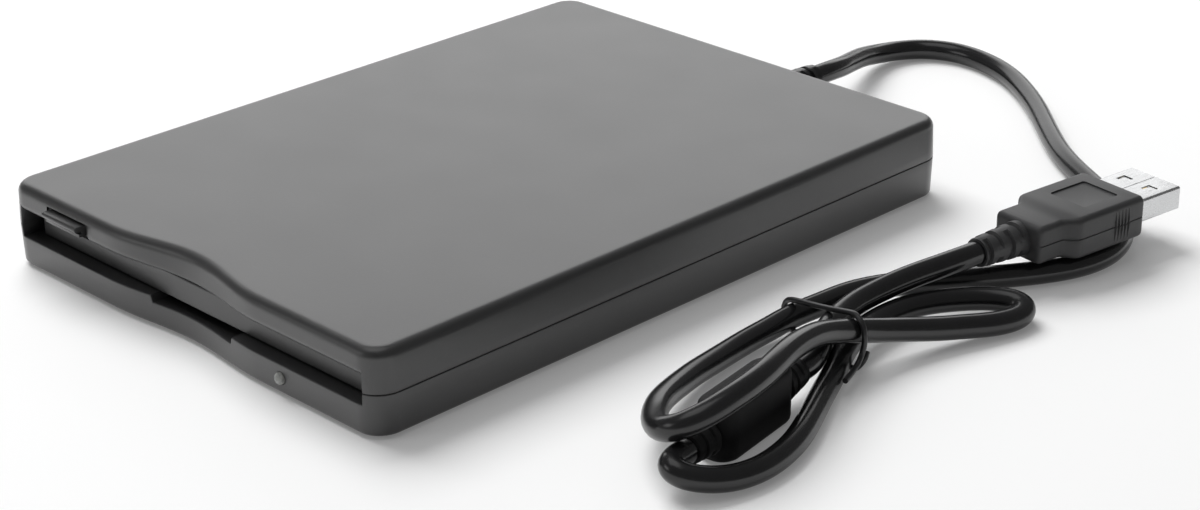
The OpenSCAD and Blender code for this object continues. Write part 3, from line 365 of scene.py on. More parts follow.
# %% Plastics and rubber
CLOUD_SIZE, WAVE_SIZE, COAT_ROUGH = 14.0, 9.0, 0.38


def plastic(slot, colour, rough, grain=0.35, depth=0.012, coat=0.0, specular=0.5):
    """Plastic: clouds and specks vary the colour and roughness, two noises make the grain."""
    tree, shader = new_finish(slot)
    place = place_of(tree)
    clouds = noise(tree, place, CLOUD_SIZE, 3.0)
    fine = noise(tree, place, grain, 2.0, 0.6)
    specks = spread(tree, noise(tree, place, grain * 2.2, 1.0), 0.0, 1.0, 0.66, 0.78)
    lighter = tuple(min(1.0, 1.22 * c + 0.004) for c in colour)
    base = blend_colours(tree, spread(tree, clouds, 0, 1), tuple(0.92 * c for c in colour), lighter)
    pale = tuple(min(1.0, 1.5 * c + 0.012) for c in colour)
    share = spread(tree, specks, 0.0, 0.35, 0.0, 1.0)
    wave = bump(tree, noise(tree, place, WAVE_SIZE, 1.0), depth * 0.8)
    set_shader(tree, shader, Base_Color=blend_colours(tree, share, base, pale),
               Roughness=spread(tree, clouds, rough * 0.93, rough * 1.07),
               Normal=bump(tree, fine, depth, wave), Specular_IOR_Level=specular)
    if coat:
        set_shader(tree, shader, Coat_Weight=coat, Coat_Roughness=COAT_ROUGH)


plastic("case_grey", (0.02, 0.02, 0.0205), 0.4, coat=0.85)
plastic("door_black", (0.016, 0.016, 0.0165), 0.4, grain=0.3, coat=0.8)
plastic("rubber_black", (0.02, 0.02, 0.021), 0.75, grain=0.5, depth=0.02)
plastic("dark_plastic", (0.025, 0.025, 0.027), 0.4, grain=0.12, depth=0.004)
plastic("white_plastic", (0.72, 0.71, 0.67), 0.38, grain=0.25, depth=0.005)
plastic("head_ceramic", (0.045, 0.04, 0.038), 0.22, grain=0.08, depth=0.001)
plastic("plug_grey", (0.036, 0.036, 0.037), 0.45, grain=0.25, depth=0.006)
plastic("block_black", (0.014, 0.014, 0.0145), 0.6, grain=0.3, depth=0.008, specular=0.12)
plastic("tie_black", (0.014, 0.014, 0.015), 0.3, grain=0.5, depth=0.01)
print("plastics:", len(FINISHES))

# %% [markdown]
# The cord's jacket is extruded soft vinyl: glossy, nearly black, with a very shallow long
# waviness left by the extruder and by lying folded in its bag.

# %% Cord and coloured wires
def jacket(slot, colour, rough, wave):
    """Vinyl: a very shallow long wave, and broad faint clouds that dull it in places."""
    tree, shader = new_finish(slot)
    place = place_of(tree)
    dull = spread(tree, noise(tree, place, 2.4 * wave, 2.0), 0.0, 1.0, 0.4, 0.7)
    lighter = tuple(1.25 * c + 0.001 for c in colour)
    set_shader(tree, shader, Base_Color=blend_colours(tree, dull, colour, lighter),
               Roughness=spread(tree, dull, rough, rough + 0.05, 0.0, 1.0),
               Normal=bump(tree, noise(tree, place, wave, 1.0), 0.012), Specular_IOR_Level=0.6)


jacket("cord_black", (0.008, 0.008, 0.0085), 0.2, 7.0)
jacket("wire_red", (0.42, 0.02, 0.016), 0.3, 1.2)

# %% [markdown]
# Metals differ by how they were worked. Sheet and turned parts keep fine parallel lines, so the
# noise is squeezed hard along one axis. Plated parts are nearly smooth, with faint clouds.

# %% Metals
def metal(slot, colour, rough, lines=(1, 1, 1), line_size=0.25, depth=0.002, stain=0.12):
    """Metal: squeezed noise gives the lines of the roll, and a broad one the stains."""
    tree, shader = new_finish(slot)
    streaks = noise(tree, place_of(tree, lines), line_size, 3.0)
    clouds = noise(tree, place_of(tree), 6.0, 4.0)
    darker = tuple(c * (1 - stain) for c in colour)
    set_shader(tree, shader, Metallic=1.0,
               Base_Color=blend_colours(tree, spread(tree, clouds, 0, 1), darker, colour),
               Roughness=spread(tree, streaks, rough * 0.8, rough * 1.25),
               Normal=bump(tree, streaks, depth))


metal("screw_steel", (0.3, 0.3, 0.31), 0.3)
metal("zinc_sheet", (0.62, 0.64, 0.66), 0.34, lines=(1, 0.05, 1))
metal("motor_steel", (0.66, 0.66, 0.67), 0.26, lines=(1, 1, 0.05))
metal("brass", (0.78, 0.57, 0.24), 0.28, lines=(1, 1, 0.1))
metal("arm_sheet", (0.7, 0.7, 0.69), 0.36, lines=(1, 0.05, 1))
metal("plug_steel", (0.64, 0.645, 0.65), 0.28, lines=(1, 0.06, 1), line_size=0.12, depth=0.0012,
      stain=0.05)
print("metals done,", len(FINISHES), "finishes so far")

# %% [markdown]
# Three finishes need a pattern of their own. A circuit board shows its copper tracks as paler
# lines under the green lacquer: square cells of a Voronoi pattern, drawn at their borders. A coil
# is wound wire, so fine rings run round it. The status light is a clear lens with a milky depth.

# %% Board, winding and lens
tree, shader = new_finish("board_green")
place = place_of(tree)
cells = add_node(tree, "ShaderNodeTexVoronoi", {"Vector": place, "Scale": 420.0, "Randomness": 0.8},
                 feature="DISTANCE_TO_EDGE").outputs["Distance"]
tracks = spread(tree, cells, 1.0, 0.0, 0.03, 0.06)
pads = spread(tree, add_node(tree, "ShaderNodeTexVoronoi", {
    "Vector": place, "Scale": 260.0, "Randomness": 0.35}).outputs["Distance"], 1.0, 0.0, 0.14, 0.17)
lacquer = blend_colours(tree, tracks, (0.012, 0.11, 0.05), (0.03, 0.21, 0.09))
set_shader(tree, shader, Base_Color=blend_colours(tree, pads, lacquer, (0.5, 0.5, 0.47)),
           Roughness=spread(tree, noise(tree, place, 3.0), 0.26, 0.38),
           Normal=bump(tree, tracks, 0.02), Coat_Weight=0.3, Coat_Roughness=0.15)

tree, shader = new_finish("copper_wire")
turns = add_node(tree, "ShaderNodeTexWave", {
    "Vector": place_of(tree), "Scale": 1600.0, "Distortion": 0.6, "Detail": 1.0},
    bands_direction="Z").outputs["Fac"]
set_shader(tree, shader, Metallic=0.85, Roughness=spread(tree, turns, 0.28, 0.45, 0.0, 1.0),
           Base_Color=blend_colours(tree, turns, (0.3, 0.1, 0.035), (0.72, 0.3, 0.12)),
           Normal=bump(tree, turns, 0.04))

tree, shader = new_finish("clear_lens")
milk = noise(tree, place_of(tree), 0.9, 2.0)
set_shader(tree, shader, Base_Color=blend_colours(
               tree, spread(tree, milk, 0, 1), (0.34, 0.35, 0.34), (0.62, 0.63, 0.6)),
           Roughness=spread(tree, milk, 0.08, 0.16), Transmission_Weight=0.35, IOR=1.5,
           Normal=bump(tree, milk, 0.004))
print("finishes:", sorted(FINISHES))

# %% [markdown]
# ## The cord
# The cord leaves the drive's rear, runs round behind the plug and back to a folded bundle, where
# a moulded block joins it; a short tail goes on from the block to the plug. It is a round tube
# along the CAD model's own route, with rings close together. Two of its folds bend more tightly
# than the cord is thick, so the tube runs into itself there, inside the fold. The routes are
# repeated here, because this script reads only the frame.

# %% Routes
LEAD = [(6, 86, 8.2), (6, 90.5, 8.2), (5, 95.5, 7.5), (3, 100.5, 6.5), (0, 108.5, 5),
        (-2, 116, 3.2), (-1.5, 122.5, 2.4), (2, 128, 2.2), (8.5, 131, 2.2), (16.5, 130.5, 2.2),
        (25, 127.5, 2.2), (33.5, 122, 2.2), (41.5, 115.5, 2.2), (50, 107.5, 2.2),
        (59, 99.5, 2.2), (68, 93.5, 2.2), (77.5, 88, 2.2), (86.5, 81, 2.2), (92, 73, 2.2),
        (94, 65, 2.2), (92.5, 56.5, 2.2), (87.5, 47.5, 2.2),
        (82.9, 39.2, 2.7), (78.8, 31.4, 3.4), (75.6, 24.2, 4), (73.4, 17.4, 4.1),
        (72.38, 11.1, 3.74)]
BUNDLE = [(71.4, 5.1, 3.4), (71.3, -0.6, 2.9), (71.4, -6.1, 2.7), (71.9, -11.5, 2.6),
          (72.8, -16.8, 2.8), (73.9, -22, 3.2), (75.5, -27.1, 3.7), (77.4, -32, 4.4),
          (79.7, -36.5, 5.2), (82.5, -40.4, 5.9), (85.5, -43.5, 6.7), (88.5, -45.6, 7.6),
          (91.2, -46.5, 8.7), (93.4, -45.9, 9.7), (94.9, -43.9, 10.7), (95.7, -40.9, 11.5),
          (95.8, -37.1, 12.1), (95.4, -32.7, 12.4), (94.4, -27.9, 12.5), (92.9, -23, 12.5),
          (91.2, -18, 12.2), (89.7, -13, 11.5), (88.6, -8, 10.5), (88.2, -3, 9), (88.5, 2.2, 7.5),
          (89.4, 7.4, 6), (90.9, 12.7, 4.8), (92.8, 18, 3.7), (94.8, 23.1, 3), (96.7, 27.8, 2.4),
          (97.9, 31.8, 2.2), (98, 34.9, 2.3), (97, 36.6, 2.8), (94.9, 36.7, 3.1), (92.4, 35.3, 3.3),
          (89.7, 32.7, 3.4), (87.2, 29.1, 3.5), (85.1, 24.8, 3.7), (83.8, 20.1, 3.8),
          (83.4, 15.1, 3.8), (83.8, 10, 3.7), (85, 4.9, 3.6), (87, -0.2, 3.1), (89.5, -5.1, 2.3),
          (92.1, -10.4, 2.2), (94.8, -15.6, 2.2), (97.6, -20.9, 2.2), (100, -26.2, 2.2),
          (101.6, -31.6, 2.2), (102.2, -37, 2.2), (101.6, -41.9, 2.4), (100.1, -46, 3),
          (98, -48.9, 3.8), (95.9, -50, 4.6)]
TAIL = [(85.4, -4.5, 5.5), (83.4, -0.6, 5.9), (81.8, 3.5, 6.2), (80.7, 7.7, 6.4), (80.2, 12, 6.7),
        (80.4, 16.4, 7), (81.1, 20.9, 7.5), (82.2, 25.4, 8), (83.5, 29.9, 8.4)]
CORD_D = 4.3
BLOCK_FROM, BLOCK_TO = np.array([93.5, -44.5, 5]), np.array([88, -12.5, 5])
BLOCK_L = np.linalg.norm(BLOCK_TO - BLOCK_FROM)
BLOCK_AXIS = (BLOCK_TO - BLOCK_FROM) / BLOCK_L
PLUG_AT, PLUG_TURN = np.array([89.3, 73.3, 8.7]), math.radians(-7)
PLUG_AXIS = np.array([-math.sin(PLUG_TURN), math.cos(PLUG_TURN), 0])
PLUG_SIDE = np.array([math.cos(PLUG_TURN), math.sin(PLUG_TURN), 0])
NECK_END, RELIEF_L = 25.0, 10.0
PLUG_MOUTH = PLUG_AT - (NECK_END + RELIEF_L) * PLUG_AXIS
RELAXINGS = 14
PATH_LIMITS = (102.9, 130.95)  # keep the tube inside the CAD model's box


def relaxed(path):
    """A path whose points move, time after time, to (before + 2 * own + after) / 4; its ends stay."""
    for _ in range(RELAXINGS):
        path[1:-1] = (path[:-2] + 2 * path[1:-1] + path[2:]) / 4
    return path


main_path = relaxed(smooth_path([*LEAD, *BUNDLE, BLOCK_FROM - CORD_D * BLOCK_AXIS, BLOCK_FROM]))
main_path[:, :2] = np.minimum(main_path[:, :2], PATH_LIMITS)
tail_path = relaxed(smooth_path([BLOCK_TO, BLOCK_TO + CORD_D * BLOCK_AXIS, *TAIL,
                                 PLUG_MOUTH - CORD_D * PLUG_AXIS, PLUG_MOUTH]))


def length_of(path):
    """Sum of the distances from each point to the next."""
    return float(np.linalg.norm(np.diff(path, axis=0), axis=1).sum())


print("cord:", round(length_of(main_path)), "mm to the block,",
      round(length_of(tail_path)), "on to the plug")


# %% Cord tubes
def cord_tube(name, path, replaced):
    """A round tube along a path, both ends closed."""
    rings = np.broadcast_to(circle(CORD_D / 2), (len(path), 24, 2))
    return make_piece(name, swept(path, rings), "case", "cord_black", replaced)


main_cord = cord_tube("cord", main_path, ("cord_lead", "cord_bundle"))
tail_cord = cord_tube("cord_to_plug", tail_path, ("cord_tail",))

# %% [markdown]
# A strain relief is a row of rings with a groove between each and the next, and two webs across
# each groove. The webs turn by a quarter from groove to groove, so the relief bends every way.
# Its radius at a height and an angle is the taper, less the groove's depth where there is a
# groove and no web.

# %% Strain reliefs
def relief_rings(length, thick, thin, ribs, depth, sides=48):
    """Rings of a strain relief from height 0 to its length."""
    share = np.array([0.0, 0.1, 0.56, 0.66])
    in_groove = np.tile([1.0, 0.0, 0.0, 1.0], ribs)
    number = np.repeat(np.arange(ribs), 4)
    height = (number + np.tile(share, ribs)) * length / ribs
    taper = thick + (thin - thick) * height / length
    a = np.arange(sides) * 2 * np.pi / sides
    turn = (number + (np.tile(share, ribs) < 0.05)) * np.pi / 2
    web = np.clip((np.abs(np.cos(a + turn[:, None])) - 0.9) / 0.06, 0, 1)
    radius = taper[:, None] - depth * in_groove[:, None] * (1 - web)
    flat = np.stack([radius * np.cos(a), radius * np.sin(a)], -1)
    return np.concatenate([flat, np.broadcast_to(height[:, None, None], radius.shape + (1,))], -1)


GLAND_AT = (6, 71.5, 8.2)
gland_start = round_about([(0.05, -3.4), (3.3, -3.4), (3.4, -3.3), (3.4, -1.8), (2.57, -1.8),
                           (2.57, 0), (3.55, 0), (3.7, 0.15), (3.7, 1.0), (3.55, 1.2), (2.9, 1.3)])
gland_ribs = placed(relief_rings(12.4, 3.35, 2.75, 6, 0.5), at=(0, 0, 1.5))
gland_end = round_about([(2.62, 13.95), (2.6, 14.4), (2.3, 14.5)])
gland = make_piece("cord_relief", closed_form(placed(
    np.concatenate([gland_start, gland_ribs, gland_end]), at=GLAND_AT, y=(0, 0, 1), z=(0, 1, 0))),
    "case", "cord_black", ("cord_gland",))

# %% [markdown]
# The block moulded on the cord is tall and smooth, with a few slanted grip ribs on its top edge.
# Its function can't be seen, so it is only what shows: a soft-edged box between two reliefs.

# %% Block on the cord
ALONG = dict(x=BLOCK_AXIS, y=(-BLOCK_AXIS[1], BLOCK_AXIS[0], 0))
BLOCK_BASE = (BLOCK_FROM[0], BLOCK_FROM[1], 0)
BODY_FROM, BODY_TO = 6.0, BLOCK_L - 5.5


def block_relief(start, thick, thin):
    """A relief along the block's axis, from a distance along it."""
    rings = relief_rings(6.0, thick, thin, 3, 0.35, 36)
    end = round_about([(min(thick, thin) - 0.05, 6.0)], 36)
    return closed_form(placed(np.concatenate([rings, end]), at=BLOCK_FROM + start * BLOCK_AXIS,
                              x=(0, 0, 1), y=(-BLOCK_AXIS[1], BLOCK_AXIS[0], 0), z=BLOCK_AXIS))


def slanted_rib(start):
    """A low rounded rib across the top edge, leaning forward as it rises across it."""
    rib, faces = soft_box((-0.55, -1.75, 9.2), (0.55, 1.75, 10.3), 0.4, 0.3, 4)
    lean = rib + np.stack([start + 0.45 * rib[:, 1], 0 * rib[:, 1], 0 * rib[:, 1]], -1)
    return placed(lean, at=BLOCK_BASE, **ALONG), faces


block_body = put(soft_box((BODY_FROM, -3.75, 0), (BODY_TO, 3.75, 10), 3.4, 1.3, 10),
                 at=BLOCK_BASE, **ALONG)
block = make_piece("cord_block_body", together(
    block_body, block_relief(0.0, 2.5, 3.2), block_relief(BLOCK_L - 6, 3.2, 2.5),
    *[slanted_rib(11.5 + 2.6 * i) for i in range(5)]), "case", "block_black", ("cord_block",))

# %% [markdown]
# The tie is a thin soft wire. It goes once round, and its two ends cross at the right and stand out.

# %% Tie
TIE_R = 0.5
TIE = [(90, 2.9, 3.9), (90.1, 2.2, 2.8), (89.6, 1.6, 1.6), (88.6, 1.5, 0.7), (86.8, 1.8, 0.52),
       (83, 2.7, 0.52), (77, 4.1, 0.52), (71.5, 5.4, 0.55), (70, 5.8, 1), (69.1, 6, 1.9),
       (68.7, 6, 3), (68.8, 6, 4.2), (69.5, 5.9, 5.4), (71, 5.5, 6.2), (74, 4.8, 7), (78, 3.8, 8),
       (81.5, 3, 8.9), (85, 2.2, 9.9), (87.9, 1.5, 10.65), (89.3, 1.1, 10.5), (90.6, 0.8, 9.6),
       (91.2, 0.6, 8), (91.3, 0.5, 6.7), (91.2, 0.3, 5.4), (91.2, -0.2, 4.3), (91.4, -1.3, 3.4),
       (92.2, -3.8, 2.9), (93.2, -6.5, 2.9)]
tie_path = smooth_path(TIE, 5)
tie = make_piece("tie", swept(tie_path, np.broadcast_to(circle(TIE_R, 12), (len(tie_path), 12, 2)),
                              upright=(0, 1, 0)), "case", "tie_black", ("twist_tie",))

# %% [markdown]
# ## The plug
# The grip is moulded round the plug: wide and flat, drawn in over a waist to a narrower neck. Its
# sections are rounded rectangles whose half width and half height follow the length. Each side
# has the mould's parting line, and five upright grip ribs a little behind the metal. The relief
# starts inside the neck, and is stretched a little so that it ends where its length says.

# %% Plug's grip
def ease(x, first, last):
    """0 up to the first place, 1 from the last, with a smooth step between."""
    t = np.clip((x - first) / (last - first), 0, 1)
    return t * t * (3 - 2 * t)


def grip_section(half_w, half_h, radius, groove):
    """Ring of a section: straight sides with a V at the middle for the parting line, round corners."""
    a = np.linspace(0, np.pi / 2, 6)
    corner = np.stack([half_w - radius + radius * np.cos(a), half_h - radius + radius * np.sin(a)], -1)
    right = np.array([[half_w - groove, 0], [half_w, 0.16], [half_w, 0.8]])
    quarter = np.vstack([right, corner])
    upper = np.vstack([quarter, quarter[::-1] * (-1, 1)])
    lower = upper[::-1] * (1, -1)
    return np.vstack([upper, lower[1:-1]])


RIB_FIRST, RIB_STEP, RIB_COUNT = 4.2, 0.85, 5
GRIP_ROUND = 0.9


def along_grip():
    """Distances along the grip, denser at its ends, waist and ribs."""
    ends = GRIP_ROUND * (1 - np.cos(np.linspace(0, np.pi / 2, 6)))
    ribs = -RIB_FIRST - RIB_STEP * np.arange(RIB_COUNT)[:, None] + np.array([0.19, 0.12, -0.12, -0.19])
    return np.sort(np.concatenate([-ends, ends - NECK_END, ribs.ravel(), np.linspace(-20.4, -15, 13),
                                   np.linspace(-14.5, -8.2, 8), [-21.5, -23, -3, -2]]))


def grip_form():
    """Half width 7.7 to 5.6 and half height 4 to 3.6 over the waist; a quarter round eases each end."""
    y = along_grip()
    waist = ease(y, -19.6, -16.4)
    from_end = np.minimum(-y, y + NECK_END)
    short = 1 - np.clip(from_end / GRIP_ROUND, 0, 1)
    eased = GRIP_ROUND * (1 - np.sqrt(np.clip(1 - short ** 2, 0, 1)))
    near = np.abs(((-y - RIB_FIRST + RIB_STEP / 2) % RIB_STEP) - RIB_STEP / 2)
    in_ribs = np.abs(-y - RIB_FIRST - RIB_STEP * (RIB_COUNT - 1) / 2) < 2.0
    ribbed = in_ribs & (near < 0.15)
    half_w = 5.6 + 2.1 * waist - eased
    half_h = 3.6 + 0.4 * ease(y, -20.5, -15.5) - eased
    rows = []
    for i in range(len(y)):
        ring = grip_section(half_w[i], half_h[i], 1.1, 0.14)
        flank = np.abs(ring[:, 1]) < 2.4
        ring[:, 0] += np.sign(ring[:, 0]) * 0.26 * ribbed[i] * flank
        rows.append(np.column_stack([ring[:, 0], np.full(len(ring), y[i]), ring[:, 1]]))
    return closed_form(np.stack(rows))


AT_PLUG = dict(at=PLUG_AT, x=PLUG_SIDE, y=PLUG_AXIS)
label_cuts = [soft_box((-4.2, -12.5, z - 0.28), (4.2, -3.5, z + 0.28), 0.5, 0.05, 5)
              for z in (-4, 4)]
relief = np.concatenate([relief_rings(RELIEF_L - 0.3, 3.35, 2.75, 4, 0.6),
                         round_about([(2.7, RELIEF_L - 0.3), (2.6, RELIEF_L), (2.3, RELIEF_L)])])
relief = closed_form(placed(relief, at=(0, 0.6 - NECK_END, 0), y=(0, 0, 1), z=(0, -1.06, 0)))
grip = make_piece("plug_grip_body", put(together(cut_away(grip_form(), *label_cuts), relief), **AT_PLUG),
                  "case", "plug_grey", ("plug_grip",))

# %% [markdown]
# The plug's shell is one thin steel sheet folded into a rectangle, so it has a seam along the
# middle of its top, and windows where the socket's springs catch. Inside lie a plastic tongue
# and four contacts.

# %% Plug's metal, tongue and contacts
def sheet_tube(width, height, wall, radius, low, high):
    """A rectangular tube open at its far end, with both rims eased; a ring form round its wall."""
    bevel = 0.12
    levels = [(low, 0), (high - bevel, 0), (high, bevel), (high, wall - 0.05), (high - bevel, wall),
              (low + 0.4, wall), (low + 0.4, wall + 0.6), (low, wall + 0.6)]
    rings = [np.column_stack([round_rectangle(width - 2 * i, height - 2 * i, max(radius - i, 0.05), 6),
                              np.full(24, y)])[:, [0, 2, 1]] for y, i in levels]
    return ring_form(np.stack(rings))


SHELL_W, SHELL_T, SHELL_L, SHEET = 12.0, 4.5, 11.5, 0.3
windows = [soft_box((s * 3 - 1.15, 5.2, -3), (s * 3 + 1.15, 7.5, 3), 0.15, 0.02, 3) for s in (-1, 1)]
seam = soft_box((-0.09, 0.2, 2.0), (0.09, 12, 2.6), 0.02, 0.01, 2)
latches = [soft_box((s * 3 - 0.75, 5.1, z - 0.12), (s * 3 + 1.1, 7.1, z + 0.12), 0.1, 0.04, 3)
           for s in (-1, 1) for z in (-1.98, 1.98)]
back_plate = soft_box((-5.8, 0.05, -2.05), (5.8, 0.4, 2.05), 0.1, 0.05, 3)
shell_form = cut_away(sheet_tube(SHELL_W, SHELL_T, SHEET, 0.45, 0, SHELL_L), *windows, seam)
plug_shell = make_piece("plug_metal", put(together(shell_form, *latches, back_plate), **AT_PLUG),
                        "case", "plug_steel", ("plug_shell",))
tongue_form = soft_box((-5.7, 0.4, -1.95), (5.7, 11.1, -0.05), 0.2, 0.2, 4)
tongue = make_piece("plug_tongue_body", put(tongue_form, **AT_PLUG), "case", "dark_plastic",
                    ("plug_tongue",))
contact_forms = [soft_box((2.25 * (i - 1.5) - 0.6, 1.5, -0.06), (2.25 * (i - 1.5) + 0.6, 10.3, 0.1),
                          0.3, 0.06, 4) for i in range(4)]
contacts = make_piece("plug_contact_strips", put(together(*contact_forms), **AT_PLUG), "case",
                      "brass", ("plug_contacts",))

# %% [markdown]
# ## The case
# Cover and bottom shell are two open boxes that meet at a thin groove. Both follow one plan: a
# rectangle with round corners, whose front has a smooth wave in the middle. Stations run round
# the plan; at each one a section runs from the inner floor, over the wall's edge, down the
# outside and round the lower edge. The point at a station is its place, less its outward
# direction times the inset, plus its share of the scoop's depth at that height.

# %% Stations round the plan
HALF_W, HALF_D, CORNER = 51.5, 71.5, 5.0
JOINT_Z, CASE_TOP, CASE_BASE = 8.2, 16.0, 0.5
CHIN_Z, SLOT_TOP, SLOT_HALF = 6.1, 11.2, 47.8
FLOOR_IN, ROOF_IN, WALL = 1.7, 14.8, 1.8
INNER_FRONT, INNER_X = -66.9, 49.7
NOTCH_LEFT, NOTCH_RIGHT, NOTCH_DROP = -10.0, 13.0, 1.3
SCOOP_HALF, SCOOP_BASE, SCOOP_TOP = 21.0, 1.5, 3.2
DRAFT = math.tan(math.radians(2))
JOINT_ROUND, TOP_ROUND, BASE_ROUND = 0.25, 1.8, 0.8


def corner(sx, sy, degrees):
    """Places, outward directions and inner wall points round a corner of the plan."""
    a = np.radians(degrees)
    out = np.stack([np.cos(a), np.sin(a)], -1)
    middle = np.array([sx * (HALF_W - CORNER), sy * (HALF_D - CORNER)])
    inner = middle + (CORNER - WALL) * out
    if sy < 0:
        x = np.minimum(np.abs(middle[0] + CORNER * out[:, 0]), INNER_X)
        inner = np.stack([sx * x, np.where(x < INNER_X, INNER_FRONT, middle[1])], -1)
    return middle + CORNER * out, out, inner


def straight(first, last, out, wall, steps):
    """The same along a straight side, without its two ends."""
    places = np.linspace(first, last, steps)[1:-1]
    out = np.broadcast_to(np.array(out, float), places.shape)
    return places, out, places - wall * out


front_turn = np.array([0, 4, 8, 11, 13, 14, 14.6, 15.1, 15.6, 16.2, 17, 19, 23, 28, 34, 41,
                       50, 60, 70, 80, 90])
rear_turn = np.linspace(0, 90, 12)
steps_x = np.concatenate([np.arange(-45.5, 46.4, 1.0)] + [
    edge + np.array([-0.4, -0.3, -0.22, -0.15, -0.08, 0, 0.08, 0.15, 0.22, 0.3, 0.4])
    for edge in (NOTCH_LEFT, NOTCH_RIGHT)])
front_x = np.unique(np.round(steps_x, 3))
front = (np.stack([front_x, np.full_like(front_x, -HALF_D)], -1),
         np.broadcast_to([0.0, -1.0], (len(front_x), 2)),
         np.stack([front_x, np.full_like(front_x, INNER_FRONT)], -1))
side_y, end_x = HALF_D - CORNER, HALF_W - CORNER
runs = [front, corner(1, -1, front_turn - 90),
        straight((HALF_W, -side_y), (HALF_W, side_y), (1, 0), WALL, 20),
        corner(1, 1, rear_turn), straight((end_x, HALF_D), (-end_x, HALF_D), (0, 1), WALL, 16),
        corner(-1, 1, rear_turn + 90),
        straight((-HALF_W, side_y), (-HALF_W, -side_y), (-1, 0), WALL, 20),
        corner(-1, -1, 270 - front_turn[::-1])]
place_xy, out_xy, inner_xy = (np.vstack(part) for part in zip(*runs))
at_front = place_xy[:, 1] < -60
scoop_share = np.where(at_front, np.cos(np.pi / 2 * np.minimum(
    1, np.abs(place_xy[:, 0]) / SCOOP_HALF)) ** 2, 0)
print(len(place_xy), "stations round the plan")


# %% Outline and inner wall at a height
def outline(inset, z):
    """Ring of the outside: place - inset * outward + share of the scoop, at a height."""
    z = np.broadcast_to(np.asarray(z, float), len(place_xy))
    depth = SCOOP_BASE + (SCOOP_TOP - SCOOP_BASE) * (z - CASE_BASE) / (CASE_TOP - CASE_BASE)
    xy = place_xy - np.broadcast_to(np.asarray(inset, float), len(z))[:, None] * out_xy
    return np.column_stack([xy[:, 0], xy[:, 1] + scoop_share * depth, z])


def inner_ring(z, share=1.0):
    """Ring of the inner wall at a height, or a share of the way out to it."""
    middle = np.array([0, 1.4])
    xy = middle + share * (inner_xy - middle)
    return np.column_stack([xy, np.broadcast_to(np.asarray(z, float), len(xy))])


def draft_in(z):
    """How far the outer wall has drawn in at a height, away from the joint."""
    return np.abs(np.asarray(z) - JOINT_Z) * DRAFT


def within(first, last, width):
    """1 between two places along the front, and 0 elsewhere, with a smooth step of a width."""
    x = place_xy[:, 0]
    half = width / 2
    return at_front * ease(x, first - half, first + half) * (1 - ease(x, last - half, last + half))


in_slot = within(-SLOT_HALF, SLOT_HALF, 0.16)
in_notch = within(NOTCH_LEFT, NOTCH_RIGHT, 0.6)


def half_case(inside_z, edge_z, edge_r, turn, bottom, bottom_r):
    """Half of the case: from the inner face, over the wall's edge, down the outside and round the
    far edge. The turn is 1 for the bottom shell, whose edge faces up, and -1 for the cover."""
    quarter = np.linspace(0, np.pi / 2, 6)[1:]
    start, end = edge_z - turn * edge_r, bottom + turn * bottom_r
    rows = [inner_ring(inside_z, 0.98), inner_ring(inside_z), inner_ring(edge_z),
            outline(draft_in(start) + edge_r, edge_z)]
    rows += [outline(draft_in(start) + edge_r * (1 - np.sin(a)),
                     edge_z - turn * edge_r * (1 - np.cos(a))) for a in quarter]
    rows += [outline(draft_in(z), z) for z in (start + (end - start) * t for t in (0.25, 0.5, 0.75, 1))]
    rows += [outline(draft_in(end) + bottom_r * (1 - np.cos(a)), end - turn * bottom_r * np.sin(a))
             for a in np.linspace(0, np.pi / 2, 10)[1:]]
    rows.append(outline(draft_in(end) + bottom_r + 0.5, bottom))
    return closed_form(np.stack(rows))


# %% [markdown]
# The cover's lower edge is drawn up over the disk slot, where it is rounded much more than along
# the joint, and less so in the scoop. The eject button sits in a shallow recess of the front, and
# half of the cord's hole is cut from each shell. The slot's side posts have small holes for the
# door's pins. The bosses for the screws are inside; they are joined on as forms of their own.

# %% Top cover
BOSS_X, BOSS_Y = 43.2, 65.1
HINGE_Y, HINGE_Z = -67.9, 10.55
facing = dict(y=(0, 0, 1), z=(0, -1, 0))
across = dict(x=(0, 1, 0), y=(0, 0, 1), z=(1, 0, 0))
slot_edge = JOINT_Z + (SLOT_TOP - JOINT_Z) * in_slot
lip_r = JOINT_ROUND + 0.95 * in_slot * (1 - 0.8 * scoop_share)
cover_form = half_case(ROOF_IN, slot_edge, lip_r, -1, CASE_TOP, TOP_ROUND)
button_recess = put(soft_box((-39.0, 11.65, 70.73), (-26.4, 14.5, 74), 0.3, 0.05, 5), **facing)
button_hole = put(soft_box((-38.5, 11.8, 60), (-27.8, 14.15, 74), 0.1, 0.02, 3), **facing)
cord_hole = turned([(2.6, -4), (2.6, 4)], at=(6, 71, JOINT_Z), y=(0, 0, 1), z=(0, 1, 0))
pin_holes = [turned([(0.4, -1), (0.4, 1)], 20, at=(s * 48.3, HINGE_Y, HINGE_Z), **across)
             for s in (-1, 1)]
cover_bosses = [turned([(0.03, 13.3), (1.22, 13.3), (1.22, 8.2), (3.3, 8.2), (3.3, 14.9), (0.03, 14.9)],
                       at=(s * BOSS_X, BOSS_Y, 0)) for s in (-1, 1)]
make_piece("cover", together(
    cut_away(cover_form, button_recess, button_hole, cord_hole, *pin_holes), *cover_bosses),
    "case", "case_grey", ("top_cover",))

# %% [markdown]
# The bottom shell carries the chin under the slot. A finger notch with short steep ends lets a
# fingertip reach the disk, and the status light looks out through a round hole at the right.

